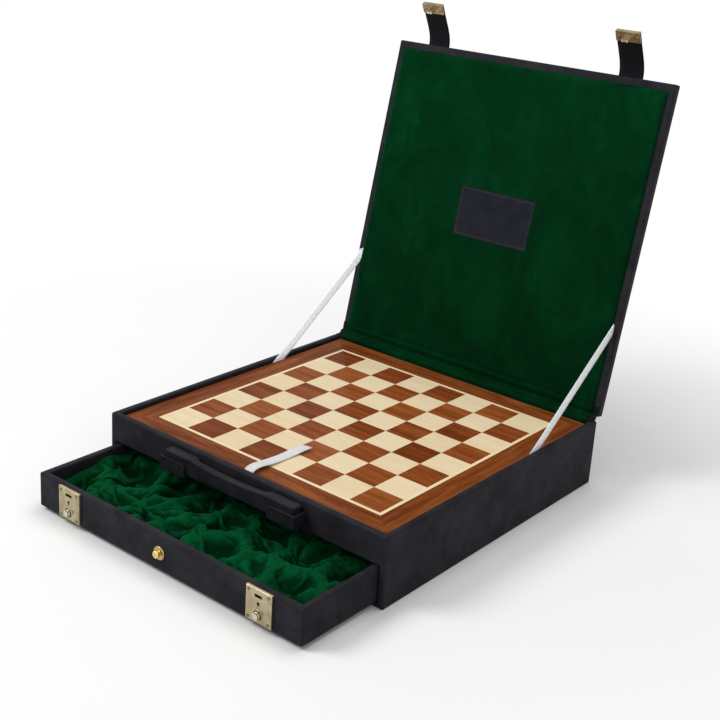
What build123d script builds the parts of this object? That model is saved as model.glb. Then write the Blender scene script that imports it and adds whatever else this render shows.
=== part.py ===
from build123d import *
import math
import os

os.makedirs("parts", exist_ok=True)

# All lengths are millimetres. X runs to the right, the drawer opens towards -Y, Z is up, and the
# origin is the middle of the case's underside.

# Case, whose outside follows from the board, the drawer and the wall
wall = 8.0
base_t = 3.0
deck_t = 3.0
edge_r = 2.5
rear_drop = 1.0

# Board and what carries it
square = 38.0
squares_across = 8
stringing_w = 4.0
border_w = 27.0
board_gap_x = 2.0
board_gap_y = 1.0
board_recess = 4.5
core_t = 11.0
veneer_t = 1.0
ledge_w = 10.0
ledge_h = 13.5

# Drawer
drawer_out = 102.7
drawer_side_gap = 1.0
drawer_top_gap = 1.0
drawer_h = 37.6
drawer_back_gap = 4.0
drawer_wall = 8.0
drawer_floor_t = 3.0
runner_h = 1.4
runner_w = 18.0
runner_inset = 16.0
runner_end_gap = 6.0
pad_t = 2.6
pad_side_t = 4.0
pad_drop = 4.0
pad_ridge_h = 6.0
pad_channels = 5

# Lid and its hinge
lid_side_set = 2.0
lid_front_set = 4.0
lid_t = 10.0
lid_gap = 0.3
lid_open = 102.4
hinge_offset = 3.0
barrel_r = 2.7
pin_r = 1.2
pin_gap = 0.05
leaf_t = 1.0
leaf_h = 18.0
hinge_end_gap = 23.0
knuckles = 17
knuckle_gap = 0.4
leaf_notch = 0.4
lining_t = 2.0
lining_gap_x = 2.0
lining_gap_front = 5.0
lining_gap_rear = 1.0
label_w = 103.0
label_h = 58.5
label_t = 0.8
label_s = 193.0

# Cloth and ribbons
cloth_t = 0.8
cloth_drop = 9.0
cloth_foot = 4.5
ribbon_t = 0.4
ribbon_w = 12.0
stay_case_y = 70.0
stay_over_board = 1.5
stay_foot = 2.5
stay_lid_s = 106.0
stay_gap = 0.1
pull_x = 5.0
pull_foot = 11.0
pull_wave = ((0.0, 2.2), (11.0, 6.6), (30.0, 2.6), (52.0, 1.4), (70.0, 3.2), (84.0, 5.2))

# Straps, hasps and locks
strap_inset = 51.0
strap_w = 30.0
strap_t = 2.5
strap_lift = 1.8
strap_root = 16.0
strap_bend_r = 4.0
strap_lean = 38.0
fit_gap = 0.1
hasp_w = 31.0
hasp_h = 11.0
hasp_t = 1.5
hasp_gap = 0.3
rivet_r = 1.6
rivet_head_r = 2.6
rivet_head_t = 0.8
rivet_x = 10.0
staple_w = 8.0
staple_t = 2.0
staple_eye_w = 4.0
staple_eye = 2.4
staple_bar = 1.3
plate_w = 32.0
plate_h = 34.5
plate_t = 3.0
plate_foot = 2.1
plate_bevel = 1.2
lock_screw_x = 12.2
lock_screw_z = 13.9
slot_w = 9.6
slot_h = 3.0
slot_up = 10.75
boss_r = 5.4
boss_t = 0.8
button_r = 4.4
button_gap = 0.1
button_reach = 4.6
button_down = 8.2
button_travel = 3.0
stem_r = 2.0
stem_end = 2.6
cross_r = 0.6
cross_d = 1.4
bolt_travel = 4.5
bolt_w = 10.0
bolt_t = 1.6
bolt_d = 1.2
bolt_plate_h = 7.4
shoulder_under = 2.1
nose_w = 2.8
nose_over = 3.0
leg_t = 1.2
leg_gap = 0.5
leg_d = 0.4
leg_depth = 5.2
leg_under = 2.5
leg_slot = 1.6
mortise_gap = 0.3
mortise_d = 6.0
mortise_room = 1.0
keyhole_r = 1.1
keyhole_w = 1.0
keyhole_h = 2.4
keyhole_up = 2.6

# Knob
rosette_r = 7.25
rosette_t = 1.6
knob_r = 4.2
knob_t = 3.4
knob_round = 1.5
knob_reach = 6.8
knob_neck_r = 2.4
knob_stem_r = 1.8
knob_stem = 6.0
knob_up = 18.4

# Carrying handle
handle_half = 91.0
handle_drop = 4.0
handle_h = 18.5
handle_front = 15.0
grip_t = 8.5
grip_half = 30.0
finger_half = 50.0
handle_corner = 5.0
handle_edge_r = 2.0
handle_gap = 0.3
cup_in = 58.0
cup_h = 12.0
cup_rear_t = 2.0
cup_front_t = 2.7
cup_end_t = 3.2
cup_floor_t = 2.2
cup_r = 2.0
cup_screw_x = 75.0
cup_screw_up = (3.5, 8.5)

# Screws
screw_r = 1.2
screw_head_r = 2.3
screw_head_t = 0.9
screw_len = 5.0
screw_gap = 0.05
hinge_screws = 6
hinge_screw_end = 20.0
hinge_screw_drop = 10.0

# Places that follow from the sizes
field = square * squares_across / 2
field_edge = field + stringing_w
board_x = field_edge + border_w
board_y = field_edge + border_w
inner_x = board_x + board_gap_x
inner_y = board_y + board_gap_y
case_w = 2 * (inner_x + wall)
case_d = 2 * (inner_y + wall)
front_y = -case_d / 2
rear_y = case_d / 2
drawer_x = inner_x - drawer_side_gap
drawer_low = base_t + runner_h
drawer_top = drawer_low + drawer_h
drawer_rear = inner_y - drawer_back_gap
deck_low = drawer_top + drawer_top_gap
deck_top = deck_low + deck_t
board_low = deck_top + ledge_h
core_top = board_low + core_t
board_top = core_top + veneer_t
case_h = board_top + board_recess
hinge_y = rear_y + hinge_offset
hinge_z = case_h
hinge_axis = Axis((0, hinge_y, hinge_z), (1, 0, 0))
lid_low = case_h + lid_gap
lid_top = lid_low + lid_t
lid_w = case_w - 2 * lid_side_set
lid_front = front_y + lid_front_set
lining_x = inner_x - lining_gap_x
lining_rear = inner_y - lining_gap_rear
lining_foot = hinge_y - lining_rear
lining_low = lid_low - lining_t
hinge_half = case_w / 2 - hinge_end_gap
knuckle_len = 2 * hinge_half / knuckles
hinge_screw_gap = 2 * (hinge_half - hinge_screw_end) / (hinge_screws - 1)
hinge_screw_x = [-hinge_half + hinge_screw_end + n * hinge_screw_gap for n in range(hinge_screws)]
lean = math.radians(lid_open - 90)
runner_x = drawer_x - runner_inset - runner_w / 2
strap_x = drawer_x - strap_inset
knob_z = drawer_low + knob_up
plate_low = drawer_low + plate_foot
plate_z = plate_low + plate_h / 2
slot_z = plate_z + slot_up
button_z = plate_z - button_down
bolt_shoulder = slot_z - shoulder_under
bolt_low = bolt_shoulder - bolt_plate_h
nose_top = slot_z + nose_over
leg_low = button_z - leg_under
mortise_low = leg_low - bolt_travel - mortise_room
mortise_top = nose_top + mortise_room
strap_z = lid_low + strap_lift + strap_t / 2
hasp_y = front_y - plate_t - screw_head_t - hasp_gap
pivot_y = hasp_y - hasp_t - strap_t / 2 + strap_bend_r
pivot_z = strap_z - strap_bend_r
strap_axis = Axis((0, pivot_y, pivot_z), (1, 0, 0))
hasp_low = slot_z - hasp_h / 2
handle_top = case_h - handle_drop
handle_low = handle_top - handle_h
cup_top = handle_low + cup_h
handle_y = front_y - handle_front
handle_rear = front_y - cup_rear_t - handle_gap


def block(x0, x1, y0, y1, z0, z1):
    """A box between two corners."""
    middle = ((x0 + x1) / 2, (y0 + y1) / 2, (z0 + z1) / 2)
    return Pos(*middle) * Box(x1 - x0, y1 - y0, z1 - z0)


def rod(start, direction, radius, length):
    """A round bar from its start along a direction."""
    low = (Align.CENTER, Align.CENTER, Align.MIN)
    return Plane(origin=start, z_dir=direction) * Cylinder(radius, length, align=low)


def side_face(edges):
    """A face drawn in Y and Z from a closed run of edges."""
    return Plane.YZ * make_face(edges)


def side_slab(points, x0, x1):
    """A flat outline in Y and Z, thickened from x0 to x1."""
    face = side_face(Polyline(*points, close=True))
    return Pos(x0, 0, 0) * extrude(face, x1 - x0, dir=(1, 0, 0))


def edges_at(shape, along, **near):
    """The straight edges along an axis whose middles lie at the given coordinates."""
    found = shape.edges().filter_by(along)
    for name, value in near.items():
        found = [e for e in found if abs(getattr(e.center(), name) - value) < 0.01]
    return found


def opened(shape):
    """A piece of the closed lid, swung to where the lid rests."""
    return shape.rotate(hinge_axis, -lid_open)


def leaned(shape):
    """A piece of the hanging strap, swung to its resting lean on the open lid."""
    return opened(shape.rotate(strap_axis, strap_lean - 90))


def pulled(shape):
    """A piece of the shut drawer, moved to where the drawer rests."""
    return Pos(0, -drawer_out, 0) * shape


def save(name, *solids):
    """One node's file, from one solid or a group of separate ones."""
    shape = solids[0] if len(solids) == 1 else Compound(children=list(solids))
    export_step(shape, os.path.join("parts", name + ".step"))


def screw(head_base, direction):
    """A domed screw whose head stands on head_base and whose shank runs along direction."""
    along = Vector(*direction)
    top = Vector(*head_base) - along * screw_head_t
    head = rod(tuple(top), direction, screw_head_r, screw_head_t)
    rim = head.edges().filter_by(GeomType.CIRCLE).sort_by_distance(tuple(top))[0]
    head = chamfer(rim, screw_head_t / 2)
    return head + rod(head_base, direction, screw_r, screw_len)


def screw_hole(head_base, direction):
    """The bore that a screw's shank runs in."""
    return rod(head_base, direction, screw_r + screw_gap, screw_len + screw_gap)


def mitred_frame(outer_x, outer_y, inner_x, inner_y):
    """Four veneer strips with mitred ends, laid round a field on the board's core."""
    strips = []
    for hand in (-1, 1):
        along_x = [
            (-outer_x, hand * outer_y),
            (outer_x, hand * outer_y),
            (inner_x, hand * inner_y),
            (-inner_x, hand * inner_y),
        ]
        along_y = [
            (hand * outer_x, -outer_y),
            (hand * outer_x, outer_y),
            (hand * inner_x, inner_y),
            (hand * inner_x, -inner_y),
        ]
        for outline in (along_x, along_y):
            face = Pos(0, 0, core_top) * make_face(Polyline(*outline, close=True))
            strips.append(extrude(face, veneer_t, dir=(0, 0, 1)))
    return strips


# Case panels
base = block(-inner_x, inner_x, front_y, inner_y, 0, base_t)
save("case_bottom", base)

for name, hand in (("left", -1), ("right", 1)):
    inside = hand * inner_x
    outside = hand * case_w / 2
    panel = block(min(inside, outside), max(inside, outside), front_y, rear_y, 0, case_h)
    soft = edges_at(panel, Axis.Y, Z=case_h)
    soft = soft + edges_at(panel, Axis.Z, X=outside)
    save("case_wall_" + name, fillet(soft, edge_r))

leaf_screws = [(x, rear_y + leaf_t, case_h - hinge_screw_drop) for x in hinge_screw_x]
rear = block(-inner_x, inner_x, inner_y, rear_y, 0, case_h - rear_drop)
for place in leaf_screws:
    rear = rear - screw_hole(place, (0, -1, 0))
save("case_wall_rear", rear)

cup_screws = [
    (hand * cup_screw_x, front_y - cup_rear_t + screw_head_t, handle_low + up)
    for hand in (-1, 1)
    for up in cup_screw_up
]
front = block(-inner_x, inner_x, front_y, -inner_y, deck_low, case_h)
front = fillet(edges_at(front, Axis.X, Z=case_h), edge_r)
for place in cup_screws:
    front = front - screw_hole(place, (0, 1, 0))
save("case_front_panel", front)

save("drawer_deck", block(-inner_x, inner_x, -inner_y, inner_y, deck_low, deck_top))

ledge_x = inner_x - ledge_w
ledge_y = inner_y - ledge_w
save(
    "board_ledges",
    block(-inner_x, -ledge_x, -inner_y, inner_y, deck_top, board_low),
    block(ledge_x, inner_x, -inner_y, inner_y, deck_top, board_low),
    block(-ledge_x, ledge_x, -inner_y, -ledge_y, deck_top, board_low),
    block(-ledge_x, ledge_x, ledge_y, inner_y, deck_top, board_low),
)

runner_ends = (front_y + runner_end_gap, inner_y - runner_end_gap)
runners = []
for hand in (-1, 1):
    x = hand * runner_x
    runners.append(block(x - runner_w / 2, x + runner_w / 2, *runner_ends, base_t, drawer_low))
save("drawer_runners", *runners)

# Chessboard
save("board_core", block(-board_x, board_x, -board_y, board_y, board_low, core_top))

tones = {"squares_light": [], "squares_dark": []}
for column in range(squares_across):
    for row in range(squares_across):
        x = column * square - field
        y = row * square - field
        tone = "squares_light" if (column + row) % 2 == 0 else "squares_dark"
        tones[tone].append(block(x, x + square, y, y + square, core_top, board_top))
for tone, tiles in tones.items():
    save(tone, *tiles)

save("board_stringing", *mitred_frame(field_edge, field_edge, field, field))
save("board_border", *mitred_frame(board_x, board_y, field_edge, field_edge))

# The pull ribbon runs up the board's front edge and waves back over the board.
under = [(-board_y + back, board_top + up) for back, up in pull_wave]
over = [(y, z + ribbon_t) for y, z in under]
foot_z = board_top - pull_foot
bend = side_face(
    [
        Spline(*under),
        Line(under[-1], over[-1]),
        Spline(*over),
        Line(over[0], (-board_y - ribbon_t, over[0][1])),
        Line((-board_y - ribbon_t, over[0][1]), (-board_y - ribbon_t, foot_z)),
        Line((-board_y - ribbon_t, foot_z), (-board_y, foot_z)),
        Line((-board_y, foot_z), under[0]),
    ]
)
save("pull_ribbon", Pos(pull_x - ribbon_w / 2, 0, 0) * extrude(bend, ribbon_w, dir=(1, 0, 0)))

# Piano hinge
barrels = {"case": [], "lid": []}
notches = {"case": [], "lid": []}
for number in range(knuckles):
    x = -hinge_half + number * knuckle_len
    mine, other = ("case", "lid") if number % 2 == 0 else ("lid", "case")
    start = (x + knuckle_gap / 2, hinge_y, hinge_z)
    barrels[mine].append(rod(start, (1, 0, 0), barrel_r, knuckle_len - knuckle_gap))
    notches[other].append(rod((x, hinge_y, hinge_z), (1, 0, 0), barrel_r + leaf_notch, knuckle_len))

pin_hole = rod((-hinge_half, hinge_y, hinge_z), (1, 0, 0), pin_r + pin_gap, 2 * hinge_half)
leaf_case = block(-hinge_half, hinge_half, rear_y, rear_y + leaf_t, case_h - leaf_h, case_h)
leaf_lid = block(-hinge_half, hinge_half, rear_y, rear_y + leaf_t, case_h, lid_top - edge_r)
lid_screws = [(x, rear_y + leaf_t, lid_low + lid_t / 2) for x in hinge_screw_x]
leaves = (("case", leaf_case, leaf_screws), ("lid", leaf_lid, lid_screws))
for name, leaf, places in leaves:
    for cut in notches[name]:
        leaf = leaf - cut
    for knuckle in barrels[name]:
        leaf = leaf + knuckle
    leaf = leaf - pin_hole
    for place in places:
        leaf = leaf - screw_hole(place, (0, -1, 0))
    heads = [screw(place, (0, -1, 0)) for place in places]
    if name == "lid":
        leaf = opened(leaf)
        heads = [opened(head) for head in heads]
    save("hinge_leaf_" + name, leaf)
    save("hinge_screws_" + name, *heads)
save("hinge_pin", rod((-hinge_half, hinge_y, hinge_z), (1, 0, 0), pin_r, 2 * hinge_half))

# Lid
lid = block(-lid_w / 2, lid_w / 2, lid_front, rear_y, lid_low, lid_top)
soft = edges_at(lid, Axis.Z, Y=lid_front)
soft = soft + edges_at(lid, Axis.Y, Z=lid_top) + edges_at(lid, Axis.X, Y=lid_front, Z=lid_top)
lid = fillet(soft, edge_r)
for place in lid_screws:
    lid = lid - screw_hole(place, (0, -1, 0))
for hand in (-1, 1):
    lid = lid - block(
        hand * strap_x - strap_w / 2 - fit_gap,
        hand * strap_x + strap_w / 2 + fit_gap,
        lid_front,
        lid_front + strap_root + fit_gap,
        strap_z - strap_t / 2 - fit_gap,
        strap_z + strap_t / 2 + fit_gap,
    )
save("lid_panel", opened(lid))

lining_front = -inner_y + lining_gap_front
lining = block(-lining_x, lining_x, lining_front, lining_rear, lining_low, lid_low)
soft = edges_at(lining, Axis.Y, Z=lining_low) + edges_at(lining, Axis.X, Z=lining_low)
save("lid_lining", opened(fillet(soft, lining_t / 2)))

label_y = hinge_y - label_s
label_ends = (label_y - label_h / 2, label_y + label_h / 2)
label = block(-label_w / 2, label_w / 2, *label_ends, lining_low - label_t, lining_low)
save("label_patch", opened(fillet(label.edges().filter_by(Axis.Z), edge_r)))


def on_lid(s, out):
    """Y and Z on the open lid, s up from the hinge and out behind the plane through its axis."""
    y = hinge_y + s * math.sin(lean) + out * math.cos(lean)
    z = hinge_z + s * math.cos(lean) - out * math.sin(lean)
    return (y, z)


# The velvet strip covers the hinge: down the lid, round the barrel, over the rear rim, down the wall.
rim_z = case_h - rear_drop
under_r = barrel_r + leaf_notch + cloth_t / 2
over_r = under_r + cloth_t
past = []
past_out = []
for degrees in (112, 145, 172):
    c = math.cos(math.radians(degrees))
    d = math.sin(math.radians(degrees))
    past.append((hinge_y + under_r * c, hinge_z + under_r * d))
    past_out.insert(0, (hinge_y + over_r * c, hinge_z + over_r * d))
strip = [on_lid(lining_foot, lid_gap), on_lid(cloth_foot, lid_gap)]
strip = strip + past + [(rear_y - 2 * cloth_t, rim_z), (inner_y, rim_z), (inner_y, rim_z - cloth_drop)]
strip = strip + [(inner_y - cloth_t, rim_z - cloth_drop), (inner_y - cloth_t, rim_z + cloth_t)]
strip = strip + [(rear_y - 3 * cloth_t, rim_z + cloth_t)] + past_out
strip = strip + [on_lid(cloth_foot, lid_gap - cloth_t), on_lid(lining_foot, lid_gap - cloth_t)]
save("hinge_velvet", side_slab(strip, -lining_x, lining_x))

# Stay ribbons, one inside each wall, straight from the wall to the lid
low_end = Vector(stay_case_y, board_top + stay_over_board)
stay_foot_z = board_low + stay_foot
high_end = Vector(*on_lid(stay_lid_s, 0))
run = (high_end - low_end).normalized()
across = Vector(-run.Y, run.X) * (ribbon_w / 2)
off_lid = Vector(math.cos(lean), -math.sin(lean))
stay = []
for edge in (across, across * -1):
    reach = (lid_gap - stay_gap - edge.dot(off_lid)) / run.dot(off_lid)
    top = high_end + edge + run * reach
    foot = low_end + edge
    foot = foot + run * ((stay_foot_z - foot.Y) / run.Y)
    stay.append([(foot.X, foot.Y), (top.X, top.Y)])
outline = stay[0] + stay[1][::-1]
save("stay_ribbon_left", side_slab(outline, -inner_x, -inner_x + ribbon_t))
save("stay_ribbon_right", side_slab(outline, inner_x - ribbon_t, inner_x))

# Straps: root inside the lid's front edge, free bend, hanging tongue, hasp plate and staple
turn = math.radians(strap_lean)
for name, hand in (("left", -1), ("right", 1)):
    x0 = hand * strap_x - strap_w / 2
    x1 = hand * strap_x + strap_w / 2
    z0 = strap_z - strap_t / 2
    z1 = strap_z + strap_t / 2
    save("strap_root_" + name, opened(block(x0, x1, lid_front, lid_front + strap_root, z0, z1)))

    inner_r = strap_bend_r - strap_t / 2
    outer_r = strap_bend_r + strap_t / 2
    inner_end = (pivot_y - inner_r * math.sin(turn), pivot_z + inner_r * math.cos(turn))
    outer_end = (pivot_y - outer_r * math.sin(turn), pivot_z + outer_r * math.cos(turn))
    bend = side_face(
        [
            Line((lid_front, z0), (pivot_y, z0)),
            CenterArc((pivot_y, pivot_z), inner_r, 90, strap_lean),
            Line(inner_end, outer_end),
            CenterArc((pivot_y, pivot_z), outer_r, 90, strap_lean),
            Line((pivot_y, z1), (lid_front, z1)),
            Line((lid_front, z1), (lid_front, z0)),
        ]
    )
    save("strap_bend_" + name, opened(Pos(x0, 0, 0) * extrude(bend, strap_w, dir=(1, 0, 0))))

    face_y = pivot_y - inner_r
    tongue = block(x0, x1, face_y - strap_t, face_y, hasp_low, pivot_z)
    tongue = fillet(edges_at(tongue, Axis.Y, Z=hasp_low), edge_r)
    middle = hand * strap_x
    hasp_ends = (middle - hasp_w / 2, middle + hasp_w / 2)
    plate = block(*hasp_ends, face_y, face_y + hasp_t, hasp_low, hasp_low + hasp_h)
    plate = fillet(edges_at(plate, Axis.Y, Z=hasp_low), edge_r)
    rivets = []
    for side in (-1, 1):
        at = (middle + side * rivet_x, face_y + hasp_t, slot_z)
        bore = rod(at, (0, -1, 0), rivet_r + screw_gap, hasp_t + strap_t)
        tongue = tongue - bore
        plate = plate - bore
        head = rod((at[0], face_y - strap_t, slot_z), (0, -1, 0), rivet_head_r, rivet_head_t)
        head = chamfer(head.faces().sort_by(Axis.Y)[0].edges(), rivet_head_t / 2)
        rivets.append(head + rod(at, (0, -1, 0), rivet_r, hasp_t + strap_t))
    save("strap_" + name, leaned(tongue))
    save("hasp_" + name, leaned(plate))
    save("hasp_rivets_" + name, *[leaned(rivet) for rivet in rivets])

    eye_end = front_y + bolt_d + (bolt_t + staple_eye) / 2
    reach_y = eye_end + staple_bar
    low = slot_z - staple_t / 2
    high = slot_z + staple_t / 2
    staple = block(middle - staple_w / 2, middle + staple_w / 2, hasp_y, reach_y, low, high)
    staple = fillet(edges_at(staple, Axis.Z, Y=reach_y), staple_bar)
    eye_ends = (middle - staple_eye_w / 2, middle + staple_eye_w / 2)
    eye = block(*eye_ends, eye_end - staple_eye, eye_end, low, high)
    save("staple_" + name, leaned(staple - eye))

# Drawer box
side_in = drawer_x - drawer_wall
front_in = front_y + drawer_wall
back_in = drawer_rear - drawer_wall
floor_top = drawer_low + drawer_floor_t
drawer_front = block(-drawer_x, drawer_x, front_y, front_in, drawer_low, drawer_top)
soft = edges_at(drawer_front, Axis.X, Z=drawer_top) + edges_at(drawer_front, Axis.Z, Y=front_y)
drawer_front = fillet(soft, edge_r)
mortise_x = bolt_w / 2 + mortise_gap
lock_screws = []
for hand in (-1, 1):
    middle = hand * strap_x
    drawer_front = drawer_front - block(
        middle - mortise_x, middle + mortise_x, front_y, front_y + mortise_d, mortise_low, mortise_top
    )
    for side in (-1, 1):
        for level in (-1, 1):
            place = (middle + side * lock_screw_x, front_y - plate_t, plate_z + level * lock_screw_z)
            drawer_front = drawer_front - screw_hole(place, (0, 1, 0))
            lock_screws.append(place)
knob_hole = rod((0, front_y, knob_z), (0, 1, 0), knob_stem_r + screw_gap, knob_stem + screw_gap)
save("drawer_front", pulled(drawer_front - knob_hole))
save("lock_screws", *[pulled(screw(place, (0, 1, 0))) for place in lock_screws])

drawer_back = block(-side_in, side_in, back_in, drawer_rear, drawer_low, drawer_top)
save("drawer_back", pulled(fillet(edges_at(drawer_back, Axis.X, Z=drawer_top), edge_r)))
for name, hand in (("left", -1), ("right", 1)):
    ends = sorted((hand * side_in, hand * drawer_x))
    side = block(*ends, front_in, drawer_rear, drawer_low, drawer_top)
    save("drawer_side_" + name, pulled(fillet(edges_at(side, Axis.Y, Z=drawer_top), edge_r)))
save("drawer_bottom", pulled(block(-side_in, side_in, front_in, back_in, drawer_low, floor_top)))

# The drawer's velvet: a soft tray with rounded channels between raised folds
pad_top = drawer_top - pad_drop
channel_x = side_in - pad_side_t
channel_w = 2 * channel_x / pad_channels
channel_r = (channel_w**2 / 4 + pad_ridge_h**2) / (2 * pad_ridge_h)
pad_low = floor_top + pad_t
tray = block(-side_in, side_in, front_in, back_in, floor_top, pad_top)
pit_ends = (front_in + pad_side_t, back_in - pad_side_t)
tray = tray - block(-channel_x, channel_x, *pit_ends, pad_low + pad_ridge_h, pad_top)
for number in range(pad_channels):
    middle = -channel_x + (number + 0.5) * channel_w
    pit = rod((middle, pit_ends[0], pad_low + channel_r), (0, 1, 0), channel_r, pit_ends[1] - pit_ends[0])
    keep = block(middle - channel_w / 2, middle + channel_w / 2, *pit_ends, pad_low, pad_low + pad_ridge_h)
    tray = tray - (pit & keep)
save("drawer_lining", pulled(tray))

# Knob
rosette = rod((0, front_y, knob_z), (0, -1, 0), rosette_r, rosette_t)
rosette = fillet(rosette.faces().sort_by(Axis.Y)[0].edges(), rosette_t / 2)
rosette = rosette - rod((0, front_y, knob_z), (0, -1, 0), knob_stem_r + screw_gap, rosette_t)
save("knob_rosette", pulled(rosette))
neck_y = front_y - rosette_t
knob = rod((0, front_y - knob_reach, knob_z), (0, 1, 0), knob_r, knob_t)
knob = fillet(knob.faces().sort_by(Axis.Y)[0].edges(), knob_round)
knob = fillet(knob.faces().sort_by(Axis.Y)[-1].edges(), knob_round / 2)
knob = knob + rod((0, neck_y, knob_z), (0, -1, 0), knob_neck_r, knob_reach - rosette_t - knob_t)
save("knob", pulled(knob + rod((0, neck_y, knob_z), (0, 1, 0), knob_stem_r, rosette_t + knob_stem)))

# Locks: plate with slot, keyhole and button boss; the button's cross pin draws the bolt down
for name, hand in (("left", -1), ("right", 1)):
    middle = hand * strap_x
    x0 = middle - plate_w / 2
    x1 = middle + plate_w / 2
    plate = block(x0, x1, front_y - plate_t, front_y, plate_low, plate_low + plate_h)
    plate = chamfer(plate.faces().sort_by(Axis.Y)[0].edges(), plate_bevel)
    plate_y = front_y - plate_t
    plate = plate + rod((middle, plate_y, button_z), (0, -1, 0), boss_r, boss_t)
    plate = plate - rod((middle, front_y, button_z), (0, -1, 0), button_r + button_gap, plate_t + boss_t)
    plate = plate - block(
        middle - slot_w / 2, middle + slot_w / 2, plate_y, front_y, slot_z - slot_h / 2, slot_z + slot_h / 2
    )
    eye_z = plate_z + keyhole_up
    plate = plate - rod((middle, plate_y, eye_z), (0, 1, 0), keyhole_r, plate_t / 2)
    key_ends = (middle - keyhole_w / 2, middle + keyhole_w / 2)
    plate = plate - block(*key_ends, plate_y, plate_y + plate_t / 2, eye_z - keyhole_h, eye_z)
    for side in (-1, 1):
        for level in (-1, 1):
            place = (middle + side * lock_screw_x, plate_y, plate_z + level * lock_screw_z)
            plate = plate - screw_hole(place, (0, 1, 0))
    save("lock_plate_" + name, pulled(plate))

    cap_y = front_y - button_travel
    cap = plate_t + button_reach - button_travel
    button = rod((middle, plate_y - button_reach, button_z), (0, 1, 0), button_r, cap)
    button = chamfer(button.faces().sort_by(Axis.Y)[0].edges(), plate_bevel / 2)
    button = button + rod((middle, cap_y, button_z), (0, 1, 0), stem_r, button_travel + stem_end)
    leg_in = stem_r + leg_gap
    leg_out = leg_in + leg_t
    cross = rod((middle - leg_out, front_y + cross_d, button_z), (1, 0, 0), cross_r, 2 * leg_out)
    save("button_" + name, pulled(button + cross))

    bolt_y = front_y + bolt_d
    bolt = block(middle - bolt_w / 2, middle + bolt_w / 2, bolt_y, bolt_y + bolt_t, bolt_low, bolt_shoulder)
    nose_ends = (middle - nose_w / 2, middle + nose_w / 2)
    bolt = bolt + block(*nose_ends, bolt_y, bolt_y + bolt_t, bolt_shoulder, nose_top)
    leg_y = front_y + leg_d
    for side in (-1, 1):
        ends = sorted((middle + side * leg_in, middle + side * leg_out))
        bolt = bolt + block(*ends, leg_y, leg_y + leg_depth, leg_low, bolt_low + leg_t)
    start = (front_y + cross_d, button_z)
    end = (front_y + cross_d + button_travel, button_z + bolt_travel)
    travel = Plane.YZ * SlotCenterToCenter(math.dist(start, end), leg_slot)
    steep = math.degrees(math.atan2(bolt_travel, button_travel))
    centre = (middle - leg_out, (start[0] + end[0]) / 2, (start[1] + end[1]) / 2)
    track = Pos(*centre) * Rot(steep, 0, 0) * extrude(travel, 2 * leg_out, dir=(1, 0, 0))
    save("bolt_" + name, pulled(bolt - track))

# Carrying handle: a stiff strap that bows out of two cups
bar = block(-handle_half, handle_half, handle_y, handle_rear, handle_low, handle_top)
bar = fillet(edges_at(bar, Axis.Z, Y=handle_y), handle_corner)
space = block(-finger_half, finger_half, handle_y + grip_t, handle_rear, handle_low, handle_top)
space = fillet(edges_at(space, Axis.Z, Y=handle_y + grip_t), (handle_rear - handle_y - grip_t) / 2)
bar = bar - space
bar = fillet(bar.faces().sort_by(Axis.Z)[-1].outer_wire().edges(), handle_edge_r)
bar = fillet(bar.faces().sort_by(Axis.Z)[0].outer_wire().edges(), handle_edge_r)
reach = 2 * handle_half
tall = (handle_y, handle_rear, handle_low, handle_top)
save("handle_grip", bar & block(-grip_half, grip_half, *tall))
save("handle_arm_left", bar & block(-reach, -grip_half, *tall))
save("handle_arm_right", bar & block(grip_half, reach, *tall))

for name, hand in (("left", -1), ("right", 1)):
    outer = handle_half + handle_gap + cup_end_t
    ends = sorted((hand * cup_in, hand * outer))
    cup_low = handle_low - handle_gap - cup_floor_t
    cup_y = handle_y - handle_gap - cup_front_t
    cup = block(*ends, cup_y, front_y, cup_low, cup_top)
    cup = fillet(edges_at(cup, Axis.Z, X=hand * outer, Y=cup_y), handle_corner)
    cup = fillet(cup.faces().sort_by(Axis.Y)[0].edges(), cup_r)
    void_end = hand * (handle_half + handle_gap)
    void_y = handle_y - handle_gap
    hollow = sorted((hand * cup_in, void_end))
    void = block(*hollow, void_y, front_y - cup_rear_t, handle_low - handle_gap, cup_top)
    void = fillet(edges_at(void, Axis.Z, X=void_end, Y=void_y), handle_corner)
    cup = cup - void
    for place in cup_screws:
        sink = (place[0], front_y - cup_rear_t, place[2])
        cup = cup - screw_hole(place, (0, 1, 0))
        cup = cup - rod(sink, (0, 1, 0), screw_head_r + screw_gap, screw_head_t)
    save("handle_cup_" + name, cup)
save("handle_screws", *[screw(place, (0, 1, 0)) for place in cup_screws])
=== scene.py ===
import math
import random

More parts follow.
